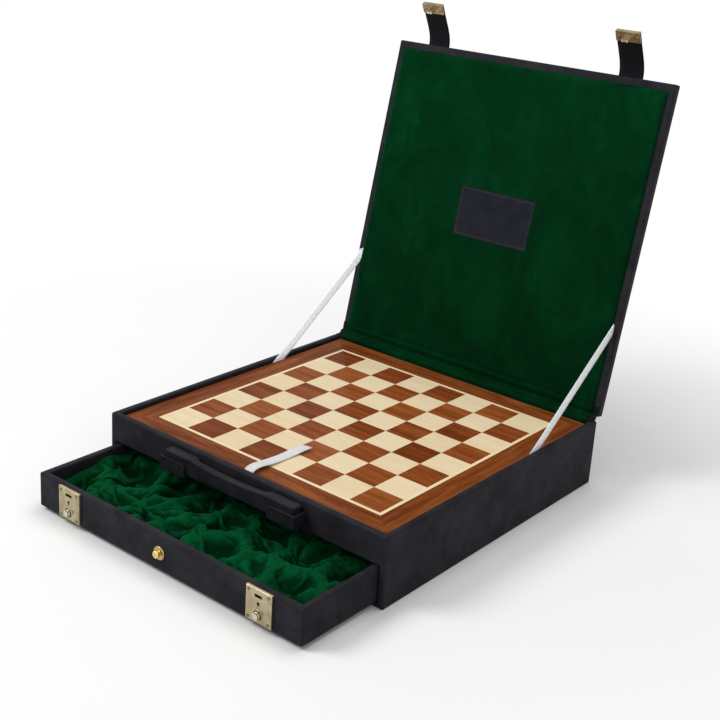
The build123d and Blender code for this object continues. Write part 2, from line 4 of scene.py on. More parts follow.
import bmesh
import bpy
from mathutils import Matrix, Vector, noise
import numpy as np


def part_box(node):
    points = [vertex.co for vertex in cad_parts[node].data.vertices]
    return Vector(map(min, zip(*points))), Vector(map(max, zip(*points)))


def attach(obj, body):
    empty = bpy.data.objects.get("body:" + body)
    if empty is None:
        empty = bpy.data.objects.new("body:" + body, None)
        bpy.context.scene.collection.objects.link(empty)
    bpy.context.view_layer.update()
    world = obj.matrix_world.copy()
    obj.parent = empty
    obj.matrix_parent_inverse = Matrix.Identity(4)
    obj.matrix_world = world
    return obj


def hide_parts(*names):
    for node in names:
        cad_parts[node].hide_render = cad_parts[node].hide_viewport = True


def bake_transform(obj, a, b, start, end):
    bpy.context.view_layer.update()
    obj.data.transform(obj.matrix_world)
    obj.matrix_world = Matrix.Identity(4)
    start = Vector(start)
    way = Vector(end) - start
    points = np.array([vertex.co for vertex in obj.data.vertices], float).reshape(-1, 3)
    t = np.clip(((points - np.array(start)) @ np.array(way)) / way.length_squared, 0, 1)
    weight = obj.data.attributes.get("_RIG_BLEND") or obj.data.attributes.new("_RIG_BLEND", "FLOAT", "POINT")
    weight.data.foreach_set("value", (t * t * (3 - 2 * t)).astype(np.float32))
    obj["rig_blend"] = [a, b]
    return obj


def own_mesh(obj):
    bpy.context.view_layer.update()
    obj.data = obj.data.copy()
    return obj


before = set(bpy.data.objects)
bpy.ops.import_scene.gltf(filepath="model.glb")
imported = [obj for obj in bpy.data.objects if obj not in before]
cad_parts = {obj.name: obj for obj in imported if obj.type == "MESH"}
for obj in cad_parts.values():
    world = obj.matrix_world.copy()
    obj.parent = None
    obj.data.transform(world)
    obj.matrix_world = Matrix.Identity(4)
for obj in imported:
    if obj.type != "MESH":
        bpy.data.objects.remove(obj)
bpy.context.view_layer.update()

bothSides = (("left", -1), ("right", 1))
fourCorners = ((-1, -1), (1, -1), (1, 1), (-1, 1))
print("frame loaded,", len(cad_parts), "nodes")


# Node and mesh helpers

def addNode(tree, kind, inputs=None, **settings):
    node = tree.nodes.new("ShaderNode" + kind)
    for name, value in settings.items():
        setattr(node, name, value)
    for name, value in (inputs or {}).items():
        if isinstance(value, bpy.types.NodeSocket):
            tree.links.new(value, node.inputs[name])
        else:
            node.inputs[name].default_value = value
    return node


def addRamp(fac, stops):  # a socket's id_data is the tree that it belongs to
    ramp = addNode(fac.id_data, "ValToRGB", {"Fac": fac})
    points = ramp.color_ramp.elements
    while len(points) < len(stops):
        points.new(0.5)
    for point, (place, tone) in zip(points, stops):
        point.position = place
        point.color = (*tone, 1.0)
    return ramp.outputs["Color"]


def addRange(fac, low, high, first=0.0, last=1.0):
    spread = {"Value": fac, "From Min": first, "From Max": last, "To Min": low, "To Max": high}
    return addNode(fac.id_data, "MapRange", spread).outputs["Result"]


def addMath(operation, first, second=0.0):
    return addNode(first.id_data, "Math", {0: first, 1: second}, operation=operation).outputs[0]


def times(first, second):
    return addMath("MULTIPLY", first, second)


def addTint(blend, fac, first, second):
    mix = addNode(first.id_data, "Mix", {0: fac, 6: first, 7: second}, data_type="RGBA", blend_type=blend)
    return mix.outputs[2]


def addNoise(vector, scale, detail=3.0, roughness=0.5, distortion=0.0):
    values = {"Vector": vector, "Scale": scale, "Detail": detail, "Roughness": roughness}
    return addNode(vector.id_data, "TexNoise", {**values, "Distortion": distortion}).outputs["Fac"]


def addBump(height, strength, distance, normal=None):
    values = {"Height": height, "Strength": strength, "Distance": distance}
    if normal is not None:
        values["Normal"] = normal
    return addNode(height.id_data, "Bump", values).outputs["Normal"]


def startMaterial(name, sockets):
    material = bpy.data.materials.new(name)
    material.use_nodes = True
    tree = material.node_tree
    shader = tree.nodes["Principled BSDF"]
    for label, value in sockets.items():
        shader.inputs[label].default_value = value
    coords = addNode(tree, "TexCoord").outputs["Object"]
    return material, tree, shader, coords


def paint(shader, tone, rough=None, normal=None):
    for label, output in (("Base Color", tone), ("Roughness", rough), ("Normal", normal)):
        if output is not None:
            shader.id_data.links.new(output, shader.inputs[label])


def readLayer(tree, name):
    return addNode(tree, "Attribute", attribute_name=name).outputs["Fac"]


def seenRays(tree):
    # 1 for rays that see a surface straight, mirrored or through glass, 0 for light that it gives off
    rays = addNode(tree, "LightPath").outputs
    seen = addMath("MAXIMUM", rays["Is Camera Ray"], rays["Is Glossy Ray"])
    return addMath("MAXIMUM", seen, rays["Is Transmission Ray"])


def newMesh():
    bm = bmesh.new()
    for name in ("wornAndHighlit", "along", "across"):
        bm.verts.layers.float.new(name)
    return bm


def stripLayers(bm):
    return bm.verts.layers.float["along"], bm.verts.layers.float["across"]


def shift(bm, vec, verts=None):
    bmesh.ops.translate(bm, vec=vec, verts=verts or bm.verts[:])


def stretch(bm, vec, verts=None):
    bmesh.ops.scale(bm, vec=vec, verts=verts or bm.verts[:])


def rotate(bm, angle, axis, verts=None, cent=(0, 0, 0)):
    bmesh.ops.rotate(bm, cent=cent, matrix=Matrix.Rotation(angle, 3, axis), verts=verts or bm.verts[:])


def placeObject(name, data):
    thing = bpy.data.objects.new(name, data)
    bpy.context.scene.collection.objects.link(thing)
    return thing


def meshObject(name, bm):
    mesh = bpy.data.meshes.new(name)
    bm.to_mesh(mesh)
    bm.free()
    return placeObject(name, mesh)


def thicken(piece, thick, offset):
    body = piece.modifiers.new("thickness", "SOLIDIFY")
    body.thickness, body.offset = thick, offset


def addBlock(bm, low, high):
    made = bmesh.ops.create_cube(bm, size=1.0)["verts"]
    low, high = Vector(low), Vector(high)
    stretch(bm, high - low, made)
    shift(bm, (low + high) / 2, made)
    return made


def middleOf(edge):
    return (edge.verts[0].co + edge.verts[1].co) / 2


sharpAngle = 0.7


def sharpEdges(bm, keep=lambda place: True):
    bm.normal_update()
    found = []
    for edge in bm.edges:
        folded = len(edge.link_faces) == 2 and edge.is_convex and edge.calc_face_angle() > sharpAngle
        if folded and keep(middleOf(edge)):
            found.append(edge)
    return found


def roundEdges(bm, edges, offset, steps):
    made = bmesh.ops.bevel(
        bm, geom=edges, offset=offset, offset_type="OFFSET", segments=steps, profile=0.5,
        affect="EDGES", material=-1, clamp_overlap=True,
    )
    # marks the bevels for the paler edge tone, partly wear and partly painted highlight
    wornAndHighlit = bm.verts.layers.float["wornAndHighlit"]
    for vert in made["verts"]:
        vert[wornAndHighlit] = 1.0


def cutAcross(bm, axis, places):
    normal = Vector((0, 0, 0))
    normal[axis] = 1.0
    for place in places:
        geom = bm.verts[:] + bm.edges[:] + bm.faces[:]
        bmesh.ops.bisect_plane(bm, geom=geom, plane_co=normal * place, plane_no=normal)


def flatSide(bm, normal, spot):
    bm.normal_update()
    facing = [f for f in bm.faces if f.normal.dot(normal) > 0.99]
    return [f for f in facing if abs((f.verts[0].co - spot).dot(normal)) < 1e-5]


def windowFace(bm, normal, low, high):
    # cuts low to high out of the flat side that faces along normal, as a face of its own
    low, high, normal = Vector(low), Vector(high), Vector(normal)
    for axis in range(3):
        if abs(normal[axis]) > 0.5:
            continue
        for place in (low[axis], high[axis]):
            side = flatSide(bm, normal, low)
            parts = {v for f in side for v in f.verts} | {e for f in side for e in f.edges}
            across = Vector((0, 0, 0))
            across[axis] = 1.0
            bmesh.ops.bisect_plane(bm, geom=list(parts) + side, plane_co=across * place, plane_no=across)
    middle = (low + high) / 2
    return min(flatSide(bm, normal, low), key=lambda f: (f.calc_center_median() - middle).length)


def sinkFace(bm, face, rim, depth):
    if rim:
        bmesh.ops.inset_region(bm, faces=[face], thickness=rim, use_even_offset=True)
    bmesh.ops.inset_region(bm, faces=[face], thickness=0.0, depth=-depth)


def opening(middle, wide, y, low, high):
    return (middle - wide / 2, y, low), (middle + wide / 2, y, high)


def sinkWindow(bm, low, high, depth):
    sinkFace(bm, windowFace(bm, (0, -1, 0), low, high), 0.0, depth)


def finishPiece(name, bm, material, body=None, nodes=(), crease=38, flatShade=True, inner=None):
    bmesh.ops.recalc_face_normals(bm, faces=bm.faces[:])
    piece = meshObject(name, bm)
    piece.data.materials.append(material)
    if inner:
        piece.data.materials.append(inner)
    piece.data.shade_smooth()
    piece.data.set_sharp_from_angle(angle=math.radians(crease))
    if flatShade:
        even = piece.modifiers.new("evenShading", "WEIGHTED_NORMAL")
        even.keep_sharp = True
    if nodes:
        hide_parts(*nodes)
    if body:
        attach(piece, body)
    return piece


# Leatherette: fine pebble grain, a few flow creases, edges rubbed smooth and paler, the paler tone partly
# wear and partly a painted highlight

def makeLeatherette(name, look):
    material, tree, shader, coords = startMaterial(
        name, {"Roughness": look["rough"], "Specular IOR Level": look["gloss"]}
    )
    cells = addNode(tree, "TexVoronoi", {"Vector": coords, "Scale": look["pebble"]}, feature="SMOOTH_F1")
    pebble = cells.outputs["Distance"]
    flow = addNoise(coords, look["flow"], 4.0, 0.6, 0.4)
    fine = addNoise(coords, look["pebble"] * 2.3, 2.0)
    tone = addRamp(flow, [(0.3, look["dark"]), (0.7, look["pale"])])
    # painted highlight and wear: bevelled edges take the paler edge tone and less roughness
    rubbedAndHighlit = times(readLayer(tree, "wornAndHighlit"), addRange(flow, 0.35, 1.0, 0.35, 0.65))
    tone = addTint("MIX", times(rubbedAndHighlit, look["rubAndHighlight"]), tone, (*look["edge"], 1.0))
    grain = addRamp(pebble, [(0.2, (0.75,) * 3), (0.6, (1.0,) * 3)])
    tone = addTint("MULTIPLY", 0.35, tone, grain)
    rough = addRange(flow, look["rough"] - 0.02, look["rough"] + 0.02, 0.3, 0.7)
    rough = addMath("SUBTRACT", rough, times(rubbedAndHighlit, 0.1))
    height = addMath("SUBTRACT", times(fine, 0.3), pebble)
    paint(shader, tone, rough, addBump(height, look["bump"], 0.0002))
    return material


# the edge tone is partly wear, partly a painted highlight on the rounded edges
leatherette = makeLeatherette("leatherette", {
    "dark": (0.0104, 0.0103, 0.0131), "pale": (0.0112, 0.0111, 0.0141), "edge": (0.042, 0.041, 0.049),
    "rough": 0.46, "gloss": 0.020, "pebble": 950.0, "flow": 34.0, "bump": 0.32, "rubAndHighlight": 0.6,
})
labelSkin = makeLeatherette("labelSkin", {
    "dark": (0.0122, 0.0136, 0.0195), "pale": (0.0145, 0.0160, 0.0228), "edge": (0.040, 0.040, 0.052),
    "rough": 0.50, "gloss": 0.020, "pebble": 1500.0, "flow": 60.0, "bump": 0.16, "rubAndHighlight": 0.25,
})
handleSkin = makeLeatherette("handleSkin", {
    "dark": (0.0060, 0.0060, 0.0075), "pale": (0.0095, 0.0095, 0.0118), "edge": (0.030, 0.030, 0.036),
    "rough": 0.40, "gloss": 0.04, "pebble": 1300.0, "flow": 48.0, "bump": 0.18, "rubAndHighlight": 0.55,
})


# Velvet: brushed pile, darker and paler patches, soft sheen

def makeVelvet(name, look):
    material, tree, shader, coords = startMaterial(
        name, {
            "Roughness": 0.92, "Specular IOR Level": 0.02,
            "Sheen Weight": look["sheen"], "Sheen Roughness": 0.38, "Sheen Tint": (*look["shine"], 1.0),
        }
    )
    stretched = addNode(tree, "Mapping", {"Vector": coords, "Scale": look["brush"]}).outputs["Vector"]
    patches = addNoise(stretched, look["patch"], 5.0, 0.62, 0.8)
    streaks = addNoise(stretched, look["patch"] * 5.0, 3.0, 0.6, 1.2)
    pile = addNoise(coords, 1900.0, 2.0)
    mixed = addMath("ADD", times(patches, 0.72), times(streaks, 0.28))
    tone = addRamp(mixed, [(0.34, look["dark"]), (0.5, look["base"]), (0.68, look["pale"])])
    # painted shade: the drawer velvet darkens in the creases, by how far each point sinks under the cloth
    # round it
    if look["hollow"]:
        hollow = addRange(readLayer(tree, "along"), 0.0, 1.0, -1.0, 1.0)
        paintedCreaseShade = addRamp(hollow, [(0.10, (0.16,) * 3), (0.50, (0.62,) * 3), (0.85, (1.0,) * 3)])
        tone = addTint("MULTIPLY", look["hollow"], tone, paintedCreaseShade)
    # painted shade and light: the lid lining darker near the hinge and paler towards the lid's top
    if look["gradient"]:
        height = addNode(tree, "SeparateXYZ", {0: coords}).outputs[2]
        tone = addTint("MULTIPLY", 1.0, tone, addRange(height, *look["gradient"]))
    tufts = addRamp(pile, [(0.3, (0.78,) * 3), (0.7, (1.0,) * 3)])
    nap = addBump(pile, 0.35, 0.00025)
    paint(shader, addTint("MULTIPLY", 0.8, tone, tufts), normal=addBump(streaks, 0.12, 0.0008, nap))
    return material


# the gradient darkens the lining's lower part and brightens its top: painted shade and light
lidVelvet = makeVelvet("lidVelvet", {
    "dark": (0.0004, 0.0185, 0.0046), "base": (0.0006, 0.0275, 0.0072), "pale": (0.0010, 0.0440, 0.0125),
    "shine": (0.05, 0.95, 0.40), "sheen": 0.05, "brush": (1.0, 1.0, 0.75), "patch": 13.0, "hollow": 0.0,
    "gradient": (0.82, 1.32, 0.10, 0.47),
})
# tones paler than the lid's velvet, a painted light on the ridges, while the creases take painted shade
drawerVelvet = makeVelvet("drawerVelvet", {
    "dark": (0.0005, 0.0480, 0.0135), "base": (0.0010, 0.0700, 0.0205), "pale": (0.0018, 0.0950, 0.0290),
    "shine": (0.06, 0.95, 0.38), "sheen": 0.10, "brush": (1.0, 1.0, 1.0), "patch": 22.0, "hollow": 0.85,
    "gradient": None,
})


# Veneers: broad growth bands, fibres and pores along the grain, under a clear lacquer

def makeWood(name, look):
    material, tree, shader, coords = startMaterial(
        name, {
            "Roughness": look["rough"], "Coat Weight": look["coat"], "Coat Roughness": look["coatRough"],
            "Coat IOR": 1.45, "Specular IOR Level": 0.02,
        }
    )
    place = coords
    if look["layout"] == "squares":
        square = (look["square"], look["square"], 1.0)
        cell = addNode(tree, "VectorMath", {0: coords, 1: square}, operation="SNAP").outputs[0]
        chance = addNode(tree, "TexWhiteNoise", {"Vector": cell}, noise_dimensions="3D")
        drift = {0: chance.outputs["Color"], 1: (3.7, 3.7, 0.0)}  # each square is cut from another place
        shove = addNode(tree, "VectorMath", drift, operation="MULTIPLY")
        place = addNode(tree, "VectorMath", {0: coords, 1: shove.outputs[0]}, operation="ADD").outputs[0]
        shade = chance.outputs["Value"]
    if look["layout"] == "frame":
        axes = addNode(tree, "SeparateXYZ", {0: coords}).outputs
        aside, ahead = (addMath("ABSOLUTE", axes[k]) for k in (0, 1))
        side = addMath("GREATER_THAN", aside, ahead)
        turned = addNode(tree, "CombineXYZ", {0: axes[1], 1: axes[0], 2: axes[2]}).outputs[0]
        place = addNode(tree, "Mix", {0: side, 4: coords, 5: turned}, data_type="VECTOR").outputs[1]
        shade = addNoise(place, 5.0, 1.0)
    if look["layout"] == "plain":
        shade = addNoise(coords, 4.0, 1.0)
    drawn = {"Vector": place, "Scale": (look["stretch"], 1.0, 1.0)}
    grain = addNode(tree, "Mapping", drawn).outputs["Vector"]
    broad = addNoise(grain, look["band"], 3.0, 0.55, 0.9)
    wave = addNode(
        tree, "TexWave",
        {"Vector": grain, "Scale": look["ring"], "Distortion": 7.0, "Detail": 3.0, "Detail Scale": 1.4},
        wave_type="BANDS", bands_direction="Y",
    ).outputs["Fac"]
    fibre = addNoise(grain, look["fibre"], 3.0, 0.7)
    pores = addNoise(grain, look["fibre"] * 3.2, 1.0)
    mixed = addTint("MIX", look["rings"], broad, wave)
    mixed = addMath("ADD", mixed, addRange(shade, -look["vary"], look["vary"]))
    tone = addRamp(mixed, look["tones"])
    streak = addRamp(fibre, [(0.32, look["streak"]), (0.58, (1.0, 1.0, 1.0))])
    tone = addTint("MULTIPLY", look["streaks"], tone, streak)
    speck = addRamp(pores, [(0.30, look["streak"]), (0.42, (1.0, 1.0, 1.0))])
    tone = addTint("MULTIPLY", look["pores"], tone, speck)
    rough = addRange(fibre, look["rough"] - 0.06, look["rough"] + 0.1)
    paint(shader, tone, rough, addBump(fibre, 0.06, 0.0002))
    return material


darkWood = makeWood("darkWood", {
    "layout": "squares", "square": 0.038, "stretch": 0.10, "band": 95.0, "ring": 24.0, "rings": 0.08,
    "tones": [(0.28, (0.150, 0.033, 0.008)), (0.50, (0.245, 0.064, 0.015)), (0.74, (0.330, 0.102, 0.026))],
    "fibre": 560.0, "vary": 0.14,
    "streak": (0.55, 0.42, 0.34), "streaks": 0.40, "pores": 0.35,
    "rough": 0.36, "coat": 0.03, "coatRough": 0.06,
})
lightWood = makeWood("lightWood", {
    "layout": "squares", "square": 0.038, "stretch": 0.12, "band": 80.0, "ring": 30.0, "rings": 0.04,
    "fibre": 520.0, "vary": 0.14,
    "tones": [(0.25, (0.735, 0.585, 0.370)), (0.5, (0.775, 0.630, 0.410)), (0.75, (0.805, 0.670, 0.455))],
    "streak": (0.88, 0.82, 0.74), "streaks": 0.35, "pores": 0.25,
    "rough": 0.40, "coat": 0.04, "coatRough": 0.10,
})
borderWood = makeWood("borderWood", {
    "layout": "frame", "stretch": 0.09, "band": 105.0, "ring": 30.0, "rings": 0.06,
    "tones": [(0.26, (0.095, 0.0215, 0.006)), (0.48, (0.190, 0.048, 0.0115)), (0.74, (0.300, 0.093, 0.023))],
    "fibre": 560.0, "vary": 0.14,
    "streak": (0.45, 0.34, 0.28), "streaks": 0.5, "pores": 0.45,
    "rough": 0.34, "coat": 0.03, "coatRough": 0.05,
})
lineWood = makeWood("lineWood", {
    "layout": "frame", "stretch": 0.2, "band": 40.0, "ring": 20.0, "rings": 0.1,
    "fibre": 380.0, "vary": 0.08,
    "tones": [(0.25, (0.76, 0.60, 0.36)), (0.5, (0.83, 0.68, 0.43)), (0.75, (0.87, 0.745, 0.50))],
    "streak": (0.85, 0.78, 0.70), "streaks": 0.4, "pores": 0.2,
    "rough": 0.40, "coat": 0.10, "coatRough": 0.10,
})
panelWood = makeWood("panelWood", {
    "layout": "plain", "stretch": 0.2, "band": 30.0, "ring": 16.0, "rings": 0.3,
    "fibre": 300.0, "vary": 0.08,
    "tones": [(0.25, (0.40, 0.26, 0.14)), (0.5, (0.50, 0.34, 0.19)), (0.75, (0.58, 0.41, 0.24))],
    "streak": (0.7, 0.62, 0.55), "streaks": 0.5, "pores": 0.3,
    "rough": 0.6, "coat": 0.0, "coatRough": 0.3,
})


# Metals: cast tone, tarnish in patches, hairline polish marks

def makeMetal(name, look):
    material, tree, shader, coords = startMaterial(name, {"Metallic": look.get("metallic", 1.0)})
    patch = addNoise(coords, look["patch"], 4.0, 0.6, 0.5)
    brushed = addNode(tree, "Mapping", {"Vector": coords, "Scale": (1.0, 1.0, 0.06)}).outputs["Vector"]
    hair = addNoise(brushed, 1800.0, 2.0)
    tone = addRamp(patch, [(0.3, look["tarnish"]), (0.58, look["tone"])])
    polish = addRamp(hair, [(0.35, (0.8,) * 3), (0.65, (1.0,) * 3)])
    rough = addRange(patch, look["rough"] + 0.12, look["rough"] - 0.04, 0.3, 0.65)
    rough = addMath("ADD", rough, addRange(hair, -0.03, 0.03))
    paint(shader, addTint("MULTIPLY", 0.3, tone, polish), rough, addBump(hair, 0.08, 0.0001))
    return material


antiqueBrass = makeMetal("antiqueBrass", {
    "tone": (0.52, 0.44, 0.275), "tarnish": (0.37, 0.30, 0.18), "rough": 0.30, "patch": 75.0,
})
# painted shade: near-black brass for the inside of the keyhole and the groove round the button
paintedShadeBrass = makeMetal("paintedShadeBrass", {
    "tone": (0.120, 0.095, 0.060), "tarnish": (0.040, 0.032, 0.020), "rough": 0.45, "patch": 300.0,
})
screwBrass = makeMetal("screwBrass", {
    "tone": (0.30, 0.245, 0.155), "tarnish": (0.10, 0.080, 0.050), "rough": 0.32, "patch": 420.0,
})
rosetteBrass = makeMetal("rosetteBrass", {
    "tone": (0.58, 0.43, 0.21), "tarnish": (0.42, 0.30, 0.16), "rough": 0.22, "patch": 160.0,
})
nickel = makeMetal("nickel", {
    "tone": (0.66, 0.62, 0.52), "tarnish": (0.46, 0.42, 0.34), "rough": 0.15, "patch": 160.0,
})
polishedBrass = makeMetal("polishedBrass", {
    "tone": (0.84, 0.63, 0.22), "tarnish": (0.66, 0.46, 0.15), "rough": 0.16, "patch": 120.0,
})
haspBrass = makeMetal("haspBrass", {
    "tone": (0.36, 0.265, 0.135), "tarnish": (0.15, 0.11, 0.06), "rough": 0.28, "patch": 140.0,
})
steel = makeMetal("steel", {
    "tone": (0.58, 0.59, 0.61), "tarnish": (0.40, 0.41, 0.43), "rough": 0.24, "patch": 60.0,
})
boltSteel = makeMetal("boltSteel", {
    "tone": (0.62, 0.72, 0.80), "tarnish": (0.44, 0.52, 0.60), "rough": 0.46, "patch": 200.0,
    "metallic": 0.25,  # dull zinc coat
})


# Satin ribbon: fine weft ribs across, woven selvedges, long soft streaks

def makeRibbon(name, look):
    material, tree, shader, _ = startMaterial(
        name, {
            "Specular IOR Level": 0.3, "Sheen Weight": 0.12, "Sheen Roughness": 0.3, "Anisotropic": 0.35,
            "Subsurface Weight": 0.85, "Subsurface Radius": (1.0, 1.0, 1.0), "Subsurface Scale": 0.0025,
            # painted glow: emission stands in for light through the satin
            "Emission Color": (0.86, 0.92, 1.0, 1.0), "Emission Strength": look["paintedGlow"],
        }
    )
    along, across = readLayer(tree, "along"), readLayer(tree, "across")
    ribs = addMath("SINE", times(along, 2 * math.pi / look["rib"]))
    warp = addMath("SINE", times(across, 2 * math.pi / look["warp"]))
    flat = addNode(tree, "CombineXYZ", {0: times(along, 8.0), 1: across}).outputs[0]
    streak = addNoise(flat, 260.0, 3.0)
    side = addMath("ABSOLUTE", across)
    edge = addRange(side, 0.0, 1.0, look["half"] * 0.78, look["half"] * 0.95)
    tone = addRamp(streak, [(0.3, look["dark"]), (0.7, look["pale"])])
    tone = addTint("MIX", times(edge, 0.7), tone, (*look["selvedge"], 1.0))
    weave = addMath("ADD", ribs, times(warp, addRange(edge, 0.3, 1.5)))
    paint(shader, tone, addRange(streak, 0.30, 0.46, 0.3, 0.7), addBump(weave, 0.12, 0.00006))
    return material


satin = makeRibbon("satinRibbon", {
    "dark": (0.84, 0.865, 0.91), "pale": (0.90, 0.92, 0.955), "selvedge": (0.96, 0.97, 0.98),
    "rib": 0.0007, "warp": 0.0011, "half": 0.006, "paintedGlow": 0.0,
})
staySatinGlow = {}
for name, paintedGlow in (("left", 0.25), ("right", 0.02)):  # painted glow: the left stay glows as though lit through from behind, the right one barely
    staySatinGlow[name] = makeRibbon("staySatinGlow." + name, {
        "dark": (0.73, 0.815, 0.93), "pale": (0.80, 0.875, 0.97), "selvedge": (0.91, 0.95, 0.99),
        "rib": 0.0007, "warp": 0.0011, "half": 0.006, "paintedGlow": paintedGlow,
    })

print("finishes ready")


# Case: one wrapped shell with the board's recess on top and the drawer's mouth in front

caseLook = {"edge": 0.0025, "foot": 0.0008, "steps": 4}
leftWall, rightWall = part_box("case_wall_left"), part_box("case_wall_right")
frontPanel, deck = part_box("case_front_panel"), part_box("drawer_deck")
caseWall = leftWall[1].x - leftWall[0].x
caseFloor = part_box("case_bottom")[1].z
bm = newMesh()
addBlock(bm, (leftWall[0].x, frontPanel[0].y, 0.0), rightWall[1])
bm.normal_update()
sinkFace(bm, max(bm.faces, key=lambda f: f.normal.z), caseWall, rightWall[1].z - deck[1].z)
mouthLow = (deck[0].x, frontPanel[0].y, caseFloor)
mouthHigh = (deck[1].x, frontPanel[0].y, deck[0].z)
sinkWindow(bm, mouthLow, mouthHigh, rightWall[1].y - caseWall - frontPanel[0].y)
roundEdges(bm, sharpEdges(bm, lambda place: place.z > 0.004), caseLook["edge"], caseLook["steps"])
roundEdges(bm, sharpEdges(bm, lambda place: place.z < 0.0035), caseLook["foot"], 2)
caseShell = finishPiece("caseShell", bm, leatherette, "case", (
    "case_wall_left", "case_wall_right", "case_wall_rear", "case_front_panel", "case_bottom", "drawer_deck",
))
print("case wrapped")


# Drawer: a wrapped tray with a mortise behind each lock

drawerLook = {
    "edge": 0.0023, "foot": 0.0008, "steps": 4,
    "mortise": (0.0106, 0.006), "mortiseHeight": (0.00755, 0.0385),
}
drawerFront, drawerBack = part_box("drawer_front"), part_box("drawer_back")
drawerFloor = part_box("drawer_bottom")[1].z
drawerWall = drawerFront[1].y - drawerFront[0].y
bm = newMesh()
addBlock(bm, drawerFront[0], (drawerFront[1].x, drawerBack[1].y, drawerFront[1].z))
bm.normal_update()
sinkFace(bm, max(bm.faces, key=lambda f: f.normal.z), drawerWall, drawerFront[1].z - drawerFloor)
roundEdges(bm, sharpEdges(bm, lambda place: place.z > 0.006), drawerLook["edge"], drawerLook["steps"])
roundEdges(bm, sharpEdges(bm, lambda place: place.z < 0.006), drawerLook["foot"], 2)
for name in ("left", "right"):
    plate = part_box("lock_plate_" + name)
    lockX = (plate[0].x + plate[1].x) / 2
    wide, deep = drawerLook["mortise"]
    sinkWindow(bm, *opening(lockX, wide, drawerFront[0].y, *drawerLook["mortiseHeight"]), deep)
drawerShell = finishPiece("drawerShell", bm, leatherette, "drawer", (
    "drawer_front", "drawer_back", "drawer_side_left", "drawer_side_right", "drawer_bottom",
))
print("drawer wrapped")


# Lid: modelled shut, then swung open on the hinge line

lidLook = {
    "hinge": Vector((0.0, 0.195, 0.076)), "open": math.radians(-102.4), "front": -0.188, "rear": 0.192,
    "low": 0.0763, "high": 0.0863, "edge": 0.0016, "steps": 4, "pocket": (0.0304, 0.0029, 0.0165),
}
strapLook = {
    "middle": 0.133, "width": 0.030, "thick": 0.0025, "level": 0.07935, "root": 0.0155, "edge": 0.0007,
    "pivot": (-0.19495, 0.07535), "bend": 0.004, "lean": math.radians(38.0), "tongue": 0.04635,
    "hasp": 0.0350, "corner": 0.002, "cuts": 46, "sway": (0.013, 0.017), "blendEnd": 0.0120,
}


def swingOpen(bm):
    rotate(bm, lidLook["open"], "X", cent=lidLook["hinge"])


def openPoint(place):
    turn = Matrix.Rotation(lidLook["open"], 3, "X")
    return turn @ (Vector(place) - lidLook["hinge"]) + lidLook["hinge"]


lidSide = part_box("lid_panel")[1].x
bm = newMesh()
addBlock(bm, (-lidSide, lidLook["front"], lidLook["low"]), (lidSide, lidLook["rear"], lidLook["high"]))
roundEdges(bm, sharpEdges(bm), lidLook["edge"], lidLook["steps"])
wide, tall, deep = lidLook["pocket"]
low, high = strapLook["level"] - tall / 2, strapLook["level"] + tall / 2
for hand in (-1, 1):
    sinkWindow(bm, *opening(hand * strapLook["middle"], wide, lidLook["front"], low, high), deep)
swingOpen(bm)
lidShell = finishPiece("lidShell", bm, leatherette, "lid", ("lid_panel",))


# Lid lining: velvet over thin wadding, edges tucked under, a few soft dimples

liningLook = {
    "face": 0.0743, "low": -0.179, "high": 0.183, "side": 0.183, "roll": 0.0035, "cells": 96,
    "thick": 0.0006, "dimple": 0.00035, "dimpleScale": 26.0, "calm": 0.012,
}


def liningHeight(place):
    inset = min(liningLook["side"] - abs(place.x), place.y - liningLook["low"], liningLook["high"] - place.y)
    tuck = max(0.0, 1.0 - inset / liningLook["roll"])
    wobble = noise.noise(place * liningLook["dimpleScale"]) * liningLook["dimple"]
    wobble *= min(1.0, inset / liningLook["calm"])
    return (lidLook["low"] - liningLook["face"]) * tuck * tuck + wobble


bm = newMesh()
bmesh.ops.create_grid(bm, x_segments=liningLook["cells"], y_segments=liningLook["cells"], size=0.5)
span = liningLook["high"] - liningLook["low"]
stretch(bm, (2 * liningLook["side"], span, 1.0))
shift(bm, (0.0, liningLook["low"] + span / 2, 0.0))
for vert in bm.verts:
    vert.co.z = liningLook["face"] + liningHeight(vert.co)
bmesh.ops.reverse_faces(bm, faces=bm.faces[:])
swingOpen(bm)
lidLining = finishPiece("lidLining", bm, lidVelvet, "lid", ("lid_lining",), flatShade=False)
thicken(lidLining, liningLook["thick"], -1.0)
print("lid lined")


# Drawer velvet: a sheet cut too large, tucked in round the walls and glued down in pockets over a padded bed

foldLook = {
    "seed": 11, "cell": 0.00456, "extra": 1.38, "fullness": 1.17, "pocket": (0.050, 0.058), "border": 0.44,
    "bed": 0.0078, "rise": 0.0205, "bedHalf": 0.19, "bedCells": 90, "wallPad": 0.012, "hem": 0.0350,
    "hemDip": 0.0090, "glue": 0.0095, "above": 0.040, "tucked": 24, "steps": 44, "top": 0.0375,
    "margin": 0.0006, "hollow": 0.0020, "thick": 0.0007, "crinkle": (0.002, 30), "hemBand": 0.0012,
    "hemWave": 34.0, "bedWave": 19, "friction": 15.0, "bedGap": 0.001, "foldGap": 0.0012,
}
clothLook = {
    "quality": 6, "mass": 0.15, "tension_stiffness": 15.0, "compression_stiffness": 15.0,
    "shear_stiffness": 5.0, "bending_stiffness": 2.2, "air_damping": 1.0, "vertex_group_mass": "glued",
}
foldLow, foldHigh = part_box("drawer_lining")
foldMiddle, foldSize = (foldLow + foldHigh) / 2, foldHigh - foldLow


def pocketPlaces():
    chance = random.Random(foldLook["seed"])
    across, deep = (round(foldSize[axis] / foldLook["pocket"][axis]) for axis in (0, 1))
    places = []
    for row in range(deep):
        for column in range(across):
            x = (column + 0.5 + 0.25 * (row % 2 * 2 - 1) + chance.uniform(-0.22, 0.22)) / across
            y = (row + 0.5 + chance.uniform(-0.25, 0.25)) / deep
            places.append((foldLow.x + x * foldSize.x, foldLow.y + y * foldSize.y))
    return places


def wallGap(spot):
    return min(spot.x - foldLow.x, foldHigh.x - spot.x, spot.y - foldLow.y, foldHigh.y - spot.y)


